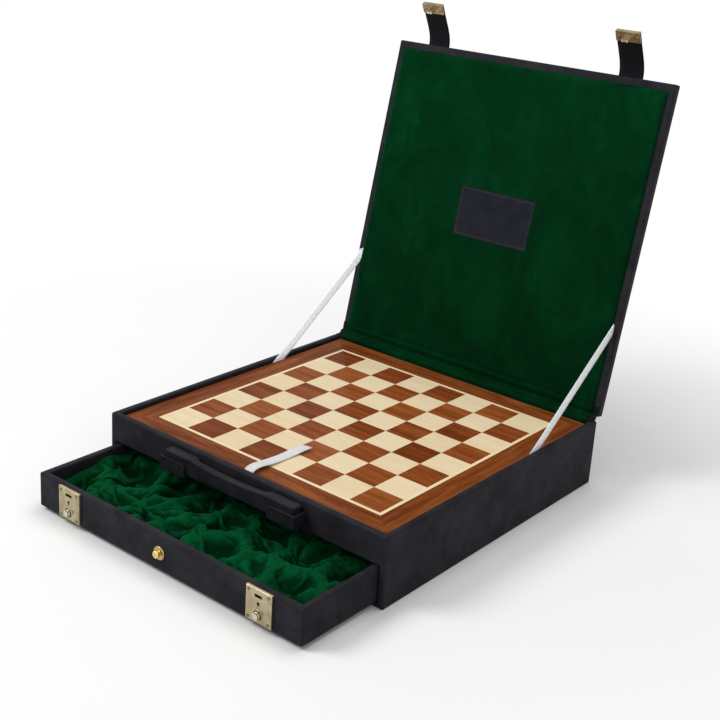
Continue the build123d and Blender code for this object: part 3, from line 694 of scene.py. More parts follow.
def makeBed(pockets):
    # wadding ridges between the pockets and along the walls, only there while the cloth settles
    bm = bmesh.new()
    cells = foldLook["bedCells"]
    bmesh.ops.create_grid(bm, x_segments=cells, y_segments=cells, size=foldLook["bedHalf"])
    shift(bm, (foldMiddle.x, foldMiddle.y, 0.0))
    wide, deep = foldLook["pocket"]
    for vert in bm.verts:
        near = sorted(math.hypot((vert.co.x - x) / wide, (vert.co.y - y) / deep) for x, y in pockets)
        edge = min(1.0, (near[1] - near[0]) / foldLook["border"])
        pad = 1.0 - max(0.0, wallGap(vert.co)) / foldLook["wallPad"]
        ridge = max(1.0 - edge * edge * (3 - 2 * edge), pad)
        wave = foldLook["bedWave"]
        uneven = 0.8 + 0.4 * noise.noise(Vector((vert.co.x * wave, vert.co.y * wave, foldLook["seed"])))
        vert.co.z = foldLook["bed"] + foldLook["rise"] * ridge * uneven
    bed = meshObject("foldBed", bm)
    bed.modifiers.new("bed", "COLLISION")
    bed.collision.thickness_outer = foldLook["bedGap"]
    bed.collision.cloth_friction = foldLook["friction"]
    return bed


def makeFolds(pockets):
    extra = foldLook["extra"]
    across, deep = (round(foldSize[axis] * extra / foldLook["cell"]) for axis in (0, 1))
    bm = newMesh()
    bmesh.ops.create_grid(bm, x_segments=across, y_segments=deep, size=0.5)
    stretch(bm, (foldSize.x - 0.001, foldSize.y - 0.001, 1.0))
    shift(bm, (foldMiddle.x, foldMiddle.y, foldLook["above"]))
    tucked = [vert.co.copy() for vert in bm.verts]
    centre = Matrix.Translation((foldMiddle.x, foldMiddle.y, 0.0))
    bmesh.ops.scale(bm, vec=(extra, extra, 1.0), space=centre.inverted(), verts=bm.verts[:])
    high, wave = foldLook["crinkle"]
    for vert in bm.verts:
        vert.co.z += high * noise.noise(vert.co * wave)
    nodes = ("drawer_lining",)
    velvet = finishPiece("drawerFolds", bm, drawerVelvet, None, nodes, flatShade=False)
    glued = velvet.vertex_groups.new(name="glued")
    velvet.shape_key_add(name="flat")
    key = velvet.shape_key_add(name="tucked")
    held = set()
    for spot in pockets:
        held.add(min(range(len(tucked)), key=lambda k: (tucked[k].xy - Vector(spot)).length_squared))
    for number, spot in enumerate(tucked):
        if wallGap(spot) < foldLook["hemBand"]:
            dip = 0.5 + noise.noise(spot * foldLook["hemWave"])
            spot.z = foldLook["hem"] - foldLook["hemDip"] * dip
            glued.add([number], 1.0, "REPLACE")
        elif number in held:
            spot.z = foldLook["glue"]
            glued.add([number], 1.0, "REPLACE")
        key.data[number].co = spot
    for value, step in ((0.0, 1), (1.0, foldLook["tucked"])):
        key.value = value
        key.keyframe_insert("value", frame=step)
    return velvet


def ruche(velvet, bed):
    cloth = velvet.modifiers.new("ruche", "CLOTH")
    for setting, value in clothLook.items():
        setattr(cloth.settings, setting, value)
    cloth.collision_settings.distance_min = foldLook["foldGap"]
    cloth.point_cache.frame_start = 1
    cloth.point_cache.frame_end = foldLook["steps"]
    for step in range(1, foldLook["steps"] + 1):
        bpy.context.scene.frame_set(step)
    view = bpy.context.evaluated_depsgraph_get()
    settled = bpy.data.meshes.new_from_object(velvet.evaluated_get(view))
    velvet.modifiers.remove(cloth)
    tuck = velvet.data.shape_keys.animation_data.action
    velvet.shape_key_clear()
    bpy.data.actions.remove(tuck)
    bpy.data.objects.remove(bed)
    bpy.context.scene.frame_set(1)
    velvet.data = settled


def trimFolds(velvet):
    bm = bmesh.new()
    bm.from_mesh(velvet.data)
    margin = foldLook["margin"]
    for vert in bm.verts:
        vert.co.x = min(max(vert.co.x, foldLow.x + margin), foldHigh.x - margin)
        vert.co.y = min(max(vert.co.y, foldLow.y + margin), foldHigh.y - margin)
        vert.co.z = min(max(vert.co.z, drawerFloor + foldLook["foldGap"]), foldLook["top"])
    # how far each point stands over or under the cloth round it, for the painted shade in the creases
    around = {vert: vert.co.z for vert in bm.verts}
    for _ in range(8):
        around = {
            v: sum(around[e.other_vert(v)] for e in v.link_edges) / len(v.link_edges) for v in bm.verts
        }
    along = bm.verts.layers.float["along"]
    for vert in bm.verts:
        vert[along] = max(-1.0, min(1.0, (vert.co.z - around[vert]) / foldLook["hollow"]))
    bm.to_mesh(velvet.data)
    bm.free()
    velvet.data.shade_smooth()
    soft = velvet.modifiers.new("soften", "SUBSURF")
    soft.levels = soft.render_levels = 1
    thicken(velvet, foldLook["thick"], -1.0)


pockets = pocketPlaces()
drawerFolds = makeFolds(pockets)
ruche(drawerFolds, makeBed(pockets))
trimFolds(drawerFolds)
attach(drawerFolds, "drawer")
print("drawer velvet ruched")


# Ribbons: flat satin strips along a smooth path

def alongPath(points, share):
    last = len(points) - 1
    spot = min(share * last, last - 1e-6)
    start = int(spot)
    t = spot - start
    a, b, c, d = (Vector(points[min(max(start + k, 0), last)]) for k in (-1, 0, 1, 2))
    return 0.5 * (
        2 * b + (c - a) * t + (2 * a - 5 * b + 4 * c - d) * t * t + (3 * b - a - 3 * c + d) * t ** 3
    )


def pathLength(points):
    return sum((Vector(b) - Vector(a)).length for a, b in zip(points, points[1:]))


def layRibbon(name, points, side, look, node):
    bm = newMesh()
    bmesh.ops.create_grid(bm, x_segments=look["across"], y_segments=look["along"], size=1.0)
    along, across = stripLayers(bm)
    length = pathLength(points)
    for vert in bm.verts:
        off, share = vert.co.x, (vert.co.y + 1) / 2
        share *= 1.0 - look["slant"] * (1 - off) / 2
        middle = alongPath(points, share)
        near, far = alongPath(points, max(0.0, share - 0.01)), alongPath(points, min(1.0, share + 0.01))
        ahead = (far - near).normalized()
        turned = Matrix.Rotation(look["twist"] * share ** 3, 3, ahead) @ Vector(side)
        vert[along], vert[across] = share * length, off * look["half"]
        vert.co = middle + turned * off * look["half"]
    ribbon = finishPiece(name, bm, look["satin"], None, (node,), crease=80, flatShade=False)
    thicken(ribbon, look["thick"], 0.0)
    return ribbon, length


stayLook = {
    "half": 0.006, "thick": 0.0004, "across": 4, "along": 44, "slant": 0.0, "twist": 0.0,
    "x": 0.1848, "foot": (0.0590, 0.0650), "top": (0.2195, 0.1807), "stiff": (0.012, 0.004),
    "tab": (0.1839, 0.1898), "tabEnds": (0.0800, 0.0938), "tabLevel": (0.07606, 0.0764),
    "tabSlant": 0.0032, "tabEdge": 0.00015,
}
footPoint, topPoint = Vector((0, *stayLook["foot"])), Vector((0, *stayLook["top"]))
rise = (topPoint - footPoint).normalized()
for name, hand in bothSides:
    start, end = (Vector((hand * stayLook["x"], p.y, p.z)) for p in (footPoint, topPoint))
    look = {**stayLook, "satin": staySatinGlow[name]}
    across = (0, -rise.z, rise.y)
    ribbon, length = layRibbon("stayRibbon." + name, [start, end], across, look, "stay_ribbon_" + name)
    low, high = stayLook["stiff"]
    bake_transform(ribbon, "case", "lid", start=start + rise * low, end=end - rise * high)

# the left ribbon's end is folded over and glued flat on the lid's rim
(inX, outX), (nearY, farY), (lowZ, highZ) = stayLook["tab"], stayLook["tabEnds"], stayLook["tabLevel"]
bm = newMesh()
addBlock(bm, (-outX, nearY, lowZ), (-inX, farY, highZ))
roundEdges(bm, sharpEdges(bm), stayLook["tabEdge"], 2)
along, across = stripLayers(bm)
for vert in bm.verts:
    vert[along], vert[across] = vert.co.y, vert.co.x + inX
    if vert.co.y < (nearY + farY) / 2:
        vert.co.y += stayLook["tabSlant"] * (-vert.co.x - inX) / (outX - inX)
swingOpen(bm)
finishPiece("stayTab", bm, staySatinGlow["left"], "lid")

pullLook = {
    "satin": satin, "half": 0.006, "thick": 0.0004, "across": 4, "along": 48, "slant": 0.06,
    "twist": math.radians(8), "pressed": 0.2,
}
pullPoints = [
    (0.0066, -0.1833, 0.0620), (0.0066, -0.1833, 0.0690), (0.0066, -0.1812, 0.0742),
    (0.0067, -0.1720, 0.0762), (0.0068, -0.1530, 0.0742), (0.0072, -0.1310, 0.0730),
    (0.0086, -0.1130, 0.0744), (0.0108, -0.0970, 0.0762),
]
pullRibbon, length = layRibbon("pullRibbon", pullPoints, (1, 0, 0), pullLook, "pull_ribbon")
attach(pullRibbon, "board")
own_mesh(pullRibbon)
print("ribbons laid")


# Hinge strip: velvet glued to the lid and the rear wall, loose over the knuckles between them

stripLook = {
    "half": 0.183, "steps": 72, "along": 30, "thick": 0.0005, "ripple": 0.0006,
    "loose": (0.0755, 0.003, 0.090, 0.006), "bend": ((0, 0.1880, 0.0768), (0, 0.1935, 0.0825)),
    "onLid": [(0.1800, 0.0741), (0.1838, 0.0731), (0.1868, 0.0738), (0.1895, 0.0752)],
    "onCase": [(0.1921, 0.0800), (0.1904, 0.0776), (0.1880, 0.0769), (0.1856, 0.0768), (0.1838, 0.0757),
               (0.1836, 0.0730), (0.1836, 0.0670)],
}
flapLook = {
    "reach": (0.1804, 0.1906), "steps": 4, "thick": 0.0004,
    "onLid": [(0.1800, 0.0760), (0.1860, 0.0760), (0.1900, 0.0760)],
    "onCase": [(0.1930, 0.0802), (0.1912, 0.0774), (0.1884, 0.0764), (0.1836, 0.0763)],
}


def hingePath(look):
    # from the lid, which is given shut, down over the hinge to the rear wall
    return [openPoint((0, *p)) for p in look["onLid"]] + [Vector((0, *p)) for p in look["onCase"]]


def sweepStrip(points, start, end, steps):
    bm = newMesh()
    count = stripLook["along"]
    chain = [bm.verts.new(alongPath(points, k / count) + Vector((start, 0, 0))) for k in range(count + 1)]
    edges = [bm.edges.new(pair) for pair in zip(chain, chain[1:])]
    for _ in range(steps):
        made = bmesh.ops.extrude_edge_only(bm, edges=edges)["geom"]
        edges = [part for part in made if isinstance(part, bmesh.types.BMEdge)]
        moved = [part for part in made if isinstance(part, bmesh.types.BMVert)]
        shift(bm, ((end - start) / steps, 0, 0), moved)
    return bm


def bendAtHinge(piece, thick):
    thicken(piece, thick, 0.0)
    start, end = stripLook["bend"]
    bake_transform(piece, "case", "lid", start=start, end=end)


stripPoints, flapPoints = hingePath(stripLook), hingePath(flapLook)
bm = sweepStrip(stripPoints, -stripLook["half"], stripLook["half"], stripLook["steps"])
looseLow, easeLow, looseHigh, easeHigh = stripLook["loose"]
for vert in bm.verts:
    rising = max(0.0, min(1.0, (vert.co.z - looseLow) / easeLow))
    free = rising * max(0.0, min(1.0, (looseHigh - vert.co.z) / easeHigh))
    wave = noise.noise(Vector((vert.co.x * 30, 0.0, vert.co.z * 160)))
    vert.co += Vector((0, -0.7, 0.7)) * stripLook["ripple"] * free * wave
hingeStrip = finishPiece(
    "hingeStrip", bm, lidVelvet, None, ("hinge_velvet",), crease=80, flatShade=False
)
bendAtHinge(hingeStrip, stripLook["thick"])
for name, hand in bothSides:
    near, far = flapLook["reach"]
    bm = sweepStrip(flapPoints, hand * near, hand * far, flapLook["steps"])
    flap = finishPiece("hingeFlap." + name, bm, leatherette, crease=80, flatShade=False)
    bendAtHinge(flap, flapLook["thick"])
print("hinge strip laid")


# Label: a bare patch sewn on the lining with thread of its own tone

labelLook = {
    "size": (0.1045, 0.0600), "middle": 0.0015, "back": 0.0743, "thick": 0.0009, "sunk": 0.0002,
    "edge": 0.0004, "seam": 0.0026, "pitch": 0.0036, "stitch": (0.0023, 0.00055, 0.0003),
    "thread": [(0.2, (0.014, 0.014, 0.020)), (0.8, (0.034, 0.034, 0.046))],
}
wide, tall = labelLook["size"]
bm = newMesh()
addBlock(bm, (-wide / 2, labelLook["middle"] - tall / 2, labelLook["back"] - labelLook["thick"]),
         (wide / 2, labelLook["middle"] + tall / 2, labelLook["back"] + labelLook["sunk"]))
roundEdges(bm, sharpEdges(bm), labelLook["edge"], 2)
swingOpen(bm)
labelPatch = finishPiece("labelPatch", bm, labelSkin, "lid", ("label_patch",))

thread, tree, shader, coords = startMaterial("labelThread", {"Roughness": 0.55, "Sheen Weight": 0.2})
twist = addNode(tree, "TexWave", {"Vector": coords, "Scale": 900.0, "Distortion": 1.5}).outputs["Fac"]
paint(shader, addRamp(twist, labelLook["thread"]), normal=addBump(twist, 0.4, 0.0001))


def sewRun(bm, start, end, pitch, size):
    start, end = Vector(start), Vector(end)
    count = max(1, round((end - start).length / pitch))
    angle = math.atan2((end - start).y, (end - start).x)
    for number in range(count):
        made = bmesh.ops.create_uvsphere(bm, u_segments=8, v_segments=4, radius=0.5)["verts"]
        stretch(bm, size, made)
        rotate(bm, angle, "Z", made)
        shift(bm, start.lerp(end, (number + 0.5) / count), made)


bm = newMesh()
level = labelLook["back"] - labelLook["thick"]
seamX, seamY = wide / 2 - labelLook["seam"], tall / 2 - labelLook["seam"]
corners = [(x * seamX, labelLook["middle"] + y * seamY, level) for x, y in fourCorners]
for start, end in zip(corners, corners[1:] + corners[:1]):
    sewRun(bm, start, end, labelLook["pitch"], labelLook["stitch"])
swingOpen(bm)
labelStitches = finishPiece("labelStitches", bm, thread, "lid", crease=80, flatShade=False)
print("label sewn on")


# Straps: one length of doubled leather each, from the lid's front edge over the bend to the tongue

def makeStrapLeather(name, look):
    material, tree, shader, coords = startMaterial(name, {"Specular IOR Level": 0.05})
    along, across = readLayer(tree, "along"), readLayer(tree, "across")
    side = addMath("ABSOLUTE", across)
    flow = addNoise(coords, 60.0, 4.0, 0.6)
    cells = addNode(tree, "TexVoronoi", {"Vector": coords, "Scale": 1200.0}, feature="SMOOTH_F1")
    fromSeam = addMath("ABSOLUTE", addMath("SUBTRACT", side, look["seam"]))
    seam = addRange(fromSeam, 1.0, 0.0, 0.0002, 0.0006)
    pitch = addMath("SINE", times(along, 2 * math.pi / look["stitch"]))
    dash = addMath("GREATER_THAN", pitch, -0.35)
    sewn = times(seam, dash)
    fold = addRange(side, 0.0, 1.0, look["fold"] - 0.0006, look["fold"] + 0.0006)
    tone = addRamp(flow, [(0.3, look["dark"]), (0.7, look["pale"])])
    tone = addTint("MULTIPLY", fold, tone, (0.62, 0.62, 0.62, 1.0))
    tone = addTint("MIX", times(sewn, 0.8), tone, (*look["thread"], 1.0))
    height = addMath("SUBTRACT", times(sewn, 1.4), times(cells.outputs["Distance"], 0.5))
    height = addMath("SUBTRACT", height, times(seam, 0.9))
    paint(shader, tone, addRange(flow, 0.46, 0.6, 0.3, 0.7), addBump(height, 0.4, 0.0003))
    return material


strapLeather = makeStrapLeather("strapLeather", {
    "dark": (0.0048, 0.0049, 0.0060), "pale": (0.0076, 0.0077, 0.0093), "thread": (0.020, 0.020, 0.023),
    "seam": 0.0116, "stitch": 0.0034, "fold": 0.0136,
})


def bendStrap(place):
    # smooth curve from the lid's front edge to where the hasp starts, straight after that
    pivotY, pivotZ = strapLook["pivot"]
    lean, reach = strapLook["lean"], strapLook["hasp"]
    start = Vector((lidLook["front"], strapLook["level"]))
    ahead = Vector((-math.cos(lean), -math.sin(lean)))
    outward = Vector((-math.sin(lean), math.cos(lean)))
    end = Vector((pivotY, pivotZ)) + outward * strapLook["bend"] + ahead * reach
    whole = start.x - pivotY + strapLook["bend"] * lean + reach
    gone = start.x - place.y
    if gone <= 0:
        return place
    t = min(1.0, gone / whole)
    early, late = strapLook["sway"]
    a, b, c, d = start, start + Vector((-early, 0)), end - ahead * late, end
    spot = a * (1 - t) ** 3 + b * 3 * t * (1 - t) ** 2 + c * 3 * t * t * (1 - t) + d * t ** 3
    slope = (b - a) * (1 - t) ** 2 + (c - b) * 2 * t * (1 - t) + (d - c) * t * t
    slope.normalize()
    spot += ahead * max(0.0, gone - whole) + Vector((slope.y, -slope.x)) * (place.z - strapLook["level"])
    return Vector((place.x, spot.x, spot.y))


for name, hand in bothSides:
    middle, half = hand * strapLook["middle"], strapLook["width"] / 2
    near = lidLook["front"] + strapLook["root"]
    far = strapLook["pivot"][0] - strapLook["bend"] * strapLook["lean"] - strapLook["tongue"]
    level, thick = strapLook["level"], strapLook["thick"]
    bm = newMesh()
    addBlock(bm, (middle - half, far, level - thick / 2), (middle + half, near, level + thick / 2))
    corners = sharpEdges(bm, lambda p: p.y < far + 0.001 and abs(p.x - middle) > half - 0.001)
    roundEdges(bm, corners, strapLook["corner"], 3)
    roundEdges(bm, sharpEdges(bm, lambda p: p.y < near - 0.001), strapLook["edge"], 2)
    cutAcross(bm, 1, [far + (near - far) * k / strapLook["cuts"] for k in range(1, strapLook["cuts"])])
    cutAcross(bm, 0, [middle + half * k / 3 for k in (-2, -1, 0, 1, 2)])
    along, across = stripLayers(bm)
    for vert in bm.verts:
        vert[along], vert[across] = near - vert.co.y, vert.co.x - middle
        vert.co = bendStrap(vert.co)
    swingOpen(bm)
    strap = finishPiece("strap." + name, bm, strapLeather, None, (
        "strap_root_" + name, "strap_bend_" + name, "strap_" + name,
    ))
    bendStart = openPoint((middle, lidLook["front"], level))
    bendEnd = openPoint(bendStrap(Vector((middle, strapLook["pivot"][0] - strapLook["blendEnd"], level))))
    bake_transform(strap, "lid", "strap_" + name, start=bendStart, end=bendEnd)
print("straps hung")


# Hasps: a brass plate with a lip over the strap's end and two domed rivets

haspLook = {
    "width": 0.0298, "tall": 0.011, "thick": 0.0015, "low": 0.029, "lip": 0.0009, "edge": 0.00035,
    "inner": -0.1977, "rivetX": 0.0115, "rivetZ": 0.0345, "rivet": (0.0036, 0.0008, 0.0036),
}


def hangToRest(bm):
    rotate(bm, strapLook["lean"] - math.radians(90), "X", cent=(0, *strapLook["pivot"]))
    swingOpen(bm)


for name, hand in bothSides:
    middle, half = hand * strapLook["middle"], haspLook["width"] / 2
    inner, low, lip = haspLook["inner"], haspLook["low"], haspLook["lip"]
    bm = newMesh()
    outer, high = inner + haspLook["thick"], low + haspLook["tall"]
    addBlock(bm, (middle - half, inner, low - lip), (middle + half, outer, high))
    lipBack = inner - strapLook["thick"] - lip
    endFace = windowFace(bm, (0, -1, 0), *opening(middle, haspLook["width"], inner, low - lip, low))
    bmesh.ops.inset_region(bm, faces=[endFace], thickness=0.0, depth=inner - lipBack)
    roundEdges(bm, sharpEdges(bm), haspLook["edge"], 2)
    for side in (-1, 1):
        made = bmesh.ops.create_uvsphere(bm, u_segments=16, v_segments=8, radius=0.5)["verts"]
        stretch(bm, haspLook["rivet"], made)
        shift(bm, (middle + side * haspLook["rivetX"], outer, haspLook["rivetZ"]), made)
    hangToRest(bm)
    finishPiece("hasp." + name, bm, haspBrass, "strap_" + name, ("hasp_" + name,))
print("hasps riveted")


# Locks: bevelled plate with a slot for the staple, keyhole, slotted screws and a sprung button in its collar

lockLook = {
    "thick": 0.003, "edge": 0.0011, "slot": (0.0096, 0.0030, 0.0345), "hole": 0.0046, "buttonZ": 0.01555,
    "keyhole": ((0.0030, 0.0256, 0.0285), (0.0014, 0.0238, 0.0254)), "keyDeep": 0.0015,
    "collar": [(0.0046, -0.0004), (0.0046, 0.0005), (0.0048, 0.0008), (0.0051, 0.0008), (0.0054, 0.0004),
               (0.0054, -0.0003)],
    "button": [(0.0, 0.0046), (0.0021, 0.00455), (0.0030, 0.0044), (0.0034, 0.0041), (0.0034, 0.0039),
               (0.0029, 0.0037), (0.0029, 0.0031), (0.0036, 0.0030), (0.0040, 0.0026), (0.0040, 0.0001),
               (0.0019, 0.0001), (0.0019, -0.0050), (0.0, -0.0050)],
    "groove": (0.0034, 0.0030, 0.0039), "steps": 32, "screwSteps": 12,
    "screwHead": [(0.00025, 0.0005), (0.0011, 0.00048), (0.0017, 0.0003), (0.0019, -0.0003),
                  (0.00025, -0.0003)],
    "screws": (0.0122, 0.0139, 0.02375),
    "screwTurns": {"left": (35, 110, 70, 150), "right": (20, 95, 130, 60)},
}


def spinOutline(bm, outline, place, steps, angle=2 * math.pi, turn=0.0):
    chain = [bm.verts.new((radius, 0.0, -out)) for radius, out in outline]
    edges = [bm.edges.new(pair) for pair in zip(chain, chain[1:])]
    whole = angle > 6.0
    bmesh.ops.spin(
        bm, geom=chain + edges, cent=(0, 0, 0), axis=(0, 0, 1), angle=angle, steps=steps, use_merge=whole
    )
    turned = [v for v in bm.verts if not v.tag]
    bmesh.ops.remove_doubles(bm, verts=turned, dist=1e-6)
    if not whole:
        rim = [e for e in bm.edges if e.is_boundary and not e.tag]
        bmesh.ops.holes_fill(bm, edges=rim, sides=0)
    turned = [v for v in bm.verts if not v.tag]
    rotate(bm, turn, "Z", turned)
    rotate(bm, math.radians(-90), "X", turned)
    shift(bm, place, turned)
    keepShape(bm)


def keepShape(bm):
    # marks what is made so far, so that the next outline is spun and placed by itself
    for part in [*bm.verts, *bm.edges, *bm.faces]:
        part.tag = True


def cutSlot(bm, low, high, back):
    front = windowFace(bm, (0, -1, 0), low, high)
    low, high = Vector(low), Vector(high)
    low.y = high.y = back
    rear = windowFace(bm, (0, 1, 0), low, high)
    loops = list(front.edges) + list(rear.edges)
    bmesh.ops.delete(bm, geom=[front, rear], context="FACES_ONLY")
    return bmesh.ops.bridge_loops(bm, edges=loops)["edges"]


def darken(bm, low, high):
    # faces behind low to high take the second finish, a painted shade inside the keyhole
    for part in bm.faces:
        spot = part.calc_center_median()
        within = all(low[axis] - 1e-5 < spot[axis] < high[axis] + 1e-5 for axis in (0, 2))
        if within and spot.y > low[1] + 1e-4:
            part.material_index = 1


screws = newMesh()
for name in ("left", "right"):
    low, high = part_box("lock_plate_" + name)
    back = drawerFront[0].y
    face = back - lockLook["thick"]
    middle = (low.x + high.x) / 2
    bm = newMesh()
    addBlock(bm, (low.x, face, low.z), (high.x, back, high.z))
    roundEdges(bm, sharpEdges(bm, lambda place: place.y < face + 0.0005), lockLook["edge"], 3)
    wide, tall, slotZ = lockLook["slot"]
    cutSlot(bm, *opening(middle, wide, face, slotZ - tall / 2, slotZ + tall / 2), back)
    hole, buttonZ = lockLook["hole"], lockLook["buttonZ"]
    sides = cutSlot(bm, *opening(middle, 2 * hole, face, buttonZ - hole, buttonZ + hole), back)
    roundEdges(bm, sides, hole * 0.995, 8)
    for wide, keyLow, keyHigh in lockLook["keyhole"]:
        spot = opening(middle, wide, face, keyLow, keyHigh)
        sinkWindow(bm, *spot, lockLook["keyDeep"])
        darken(bm, *spot)
    keepShape(bm)
    spinOutline(bm, lockLook["collar"], (middle, face, buttonZ), lockLook["steps"])
    nodes = ("lock_plate_" + name,)
    finishPiece("lockPlate." + name, bm, antiqueBrass, "drawer", nodes, inner=paintedShadeBrass)
    bm = newMesh()
    spinOutline(bm, lockLook["button"], (middle, face, buttonZ), lockLook["steps"])
    wide, shallow, deep = lockLook["groove"]
    # painted shade: the groove round the button's face takes the near-black second finish
    for part in bm.faces:
        spot = part.calc_center_median() - Vector((middle, face, buttonZ))
        part.material_index = int(shallow < -spot.y < deep and math.hypot(spot.x, spot.z) < wide)
    finishPiece(
        "lockButton." + name, bm, nickel, "button_" + name, ("button_" + name,), flatShade=False,
        inner=paintedShadeBrass,
    )
    screwX, screwZ, screwMiddle = lockLook["screws"]
    for (x, z), turn in zip(fourCorners, lockLook["screwTurns"][name]):
        place = (middle + x * screwX, face, screwMiddle + z * screwZ)
        for half in (0, 180):
            angle = math.radians(turn + half)
            spinOutline(screws, lockLook["screwHead"], place, lockLook["screwSteps"], math.pi, angle)
finishPiece("lockScrews", screws, screwBrass, "drawer", ("lock_screws",), flatShade=False)
print("locks fitted")


# Knob: flat turned brass button on a rimmed rosette, both spun from their outline

knobLook = {"steps": 40, "knob": [
    (0.0024, 0.0006), (0.0024, 0.0027), (0.0029, 0.0033), (0.0037, 0.0036), (0.0041, 0.0041),
    (0.0042, 0.0047), (0.0041, 0.0055), (0.0037, 0.0061), (0.0030, 0.0065), (0.0016, 0.00675), (0.0, 0.0068),
], "rosette": [
    (0.0, 0.0), (0.00725, 0.0), (0.00725, 0.0009), (0.0070, 0.0014), (0.0066, 0.0016), (0.0062, 0.0015),
    (0.0058, 0.0009), (0.0053, 0.0007), (0.0036, 0.0007), (0.0032, 0.0011), (0.0025, 0.0012),
]}
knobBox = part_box("knob_rosette")
knobPlace = ((knobBox[0].x + knobBox[1].x) / 2, drawerFront[0].y, (knobBox[0].z + knobBox[1].z) / 2)
for name, node, metal in (("knob", "knob", polishedBrass), ("rosette", "knob_rosette", rosetteBrass)):
    bm = newMesh()
    spinOutline(bm, knobLook[name], knobPlace, knobLook["steps"])
    finishPiece("turned." + name, bm, metal, "drawer", (node,), crease=50, flatShade=False)
print("knob turned")


# Handle: two halves that meet in the middle, so that each bends between its cup and the grip

handleLook = {
    "finger": 0.052, "ease": 0.0045, "easeRound": 0.42, "corner": 0.00375, "edge": 0.0022, "steps": 4,
    "dip": 0.0026, "cut": 0.003, "cuts": 20, "bend": (0.057, 0.030),
}
grip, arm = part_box("handle_grip"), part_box("handle_arm_right")


def uprightEdges(bm):
    return [e for e in bm.edges if abs(e.verts[0].co.z - e.verts[1].co.z) > 0.01]


for name, hand in bothSides:
    bm = newMesh()
    addBlock(bm, (0.0, arm[0].y, arm[0].z), arm[1])
    cutAcross(bm, 0, [handleLook["finger"] - handleLook["ease"], handleLook["finger"]])
    for vert in bm.verts:
        if vert.co.x < handleLook["finger"] - 0.001 and vert.co.y > grip[1].y:
            vert.co.y = grip[1].y
    bmesh.ops.delete(bm, geom=[f for f in bm.faces if f.calc_center_median().x < 1e-6], context="FACES_ONLY")
    corners = [e for e in uprightEdges(bm) if middleOf(e).x > arm[1].x - 1e-5]
    roundEdges(bm, corners, handleLook["corner"], handleLook["steps"])
    ease = [e for e in uprightEdges(bm) if middleOf(e).y > grip[1].y - 1e-5]
    ease = [e for e in ease if 0.01 < middleOf(e).x < handleLook["finger"] + 1e-4]
    roundEdges(bm, ease, handleLook["ease"] * handleLook["easeRound"], handleLook["steps"])
    roundEdges(bm, sharpEdges(bm), handleLook["edge"], handleLook["steps"])
    cutAcross(bm, 0, [handleLook["cut"] * k for k in range(1, handleLook["cuts"] + 1)])
    for vert in bm.verts:
        share = max(0.0, 1.0 - vert.co.x / handleLook["finger"])
        paintedGlow = (vert.co.z - arm[0].z) / (arm[1].z - arm[0].z)
        vert.co.z -= handleLook["dip"] * paintedGlow * share * (2 - share)
    stretch(bm, (hand, 1, 1))
    half = finishPiece("handleHalf." + name, bm, handleSkin, None, (
        "handle_arm_" + name, "handle_grip",
    ))
    start, end = handleLook["bend"]
    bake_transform(half, "case", "handle", start=(hand * start, 0, 0), end=(hand * end, 0, 0))

cupLook = {
    "wall": 0.0026, "floor": 0.0022, "end": 0.0030, "corner": 0.0055, "edge": 0.0008,
    "panel": (0.0016, 0.0005),
}
for name, hand in bothSides:
    low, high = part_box("handle_cup_right")
    inY, inZ, inX = low.y + cupLook["wall"], low.z + cupLook["floor"], high.x - cupLook["end"]
    bm = newMesh()
    addBlock(bm, low, high)
    cutAcross(bm, 0, [inX])
    cutAcross(bm, 1, [inY])
    cutAcross(bm, 2, [inZ])
    inside = lambda p: p.x < inX and p.y > inY and p.z > inZ
    bmesh.ops.delete(bm, geom=[f for f in bm.faces if inside(f.calc_center_median())], context="FACES")
    heel = bm.verts.new((inX, inY, inZ))
    spot = lambda *place: min(bm.verts, key=lambda v: (v.co - Vector(place)).length)
    frontTop, endTop, endLow = spot(inX, inY, high.z), spot(inX, high.y, high.z), spot(inX, high.y, inZ)
    rearLow, frontLow, frontEnd = spot(low.x, high.y, inZ), spot(low.x, inY, inZ), spot(low.x, inY, high.z)
    bm.faces.new((frontLow, rearLow, endLow, heel))
    bm.faces.new((frontEnd, frontLow, heel, frontTop))
    bm.faces.new((frontTop, heel, endLow, endTop))
    bmesh.ops.recalc_face_normals(bm, faces=bm.faces[:])
    bmesh.ops.dissolve_limit(bm, angle_limit=0.01, verts=bm.verts[:], edges=bm.edges[:])
    ends = sharpEdges(bm, lambda p: p.x < low.x + 1e-5 and p.y < inY)
    ends = [e for e in ends if e.verts[0].co.z == e.verts[1].co.z]
    ends = [e for e in ends if abs(e.verts[0].co.y - e.verts[1].co.y) > 0.001]
    roundEdges(bm, ends, cupLook["corner"], 6)
    roundEdges(bm, sharpEdges(bm, lambda p: p.y < high.y - 1e-4), cupLook["edge"], 3)
    bm.normal_update()
    sinkFace(bm, max(bm.faces, key=lambda f: -f.normal.y * f.calc_area()), *cupLook["panel"])
    stretch(bm, (hand, 1, 1))
    finishPiece("handleCup." + name, bm, handleSkin, "case", ("handle_cup_" + name,))
print("handle set in its cups")


# Camera at the photograph's angle

cameraLook = {
    "place": (0.8067, -1.0297, 0.6514), "azimuth": 38.36, "elevation": 19.21, "roll": 3.72,
    "lens": 64.01, "sensor": 36.0, "shift": -0.0625,
}
eye = bpy.data.cameras.new("photoCamera")
eye.sensor_width = cameraLook["sensor"]
eye.lens = cameraLook["lens"]
eye.shift_y = cameraLook["shift"]
camera = placeObject("photoCamera", eye)
aim = Matrix.Rotation(math.radians(cameraLook["azimuth"]), 4, "Z")
aim = aim @ Matrix.Rotation(math.radians(90.0 - cameraLook["elevation"]), 4, "X")
aim = aim @ Matrix.Rotation(math.radians(cameraLook["roll"]), 4, "Z")
camera.matrix_world = Matrix.Translation(cameraLook["place"]) @ aim
bpy.context.scene.camera = camera


# Studio: pale floor, white surround, three soft lamps

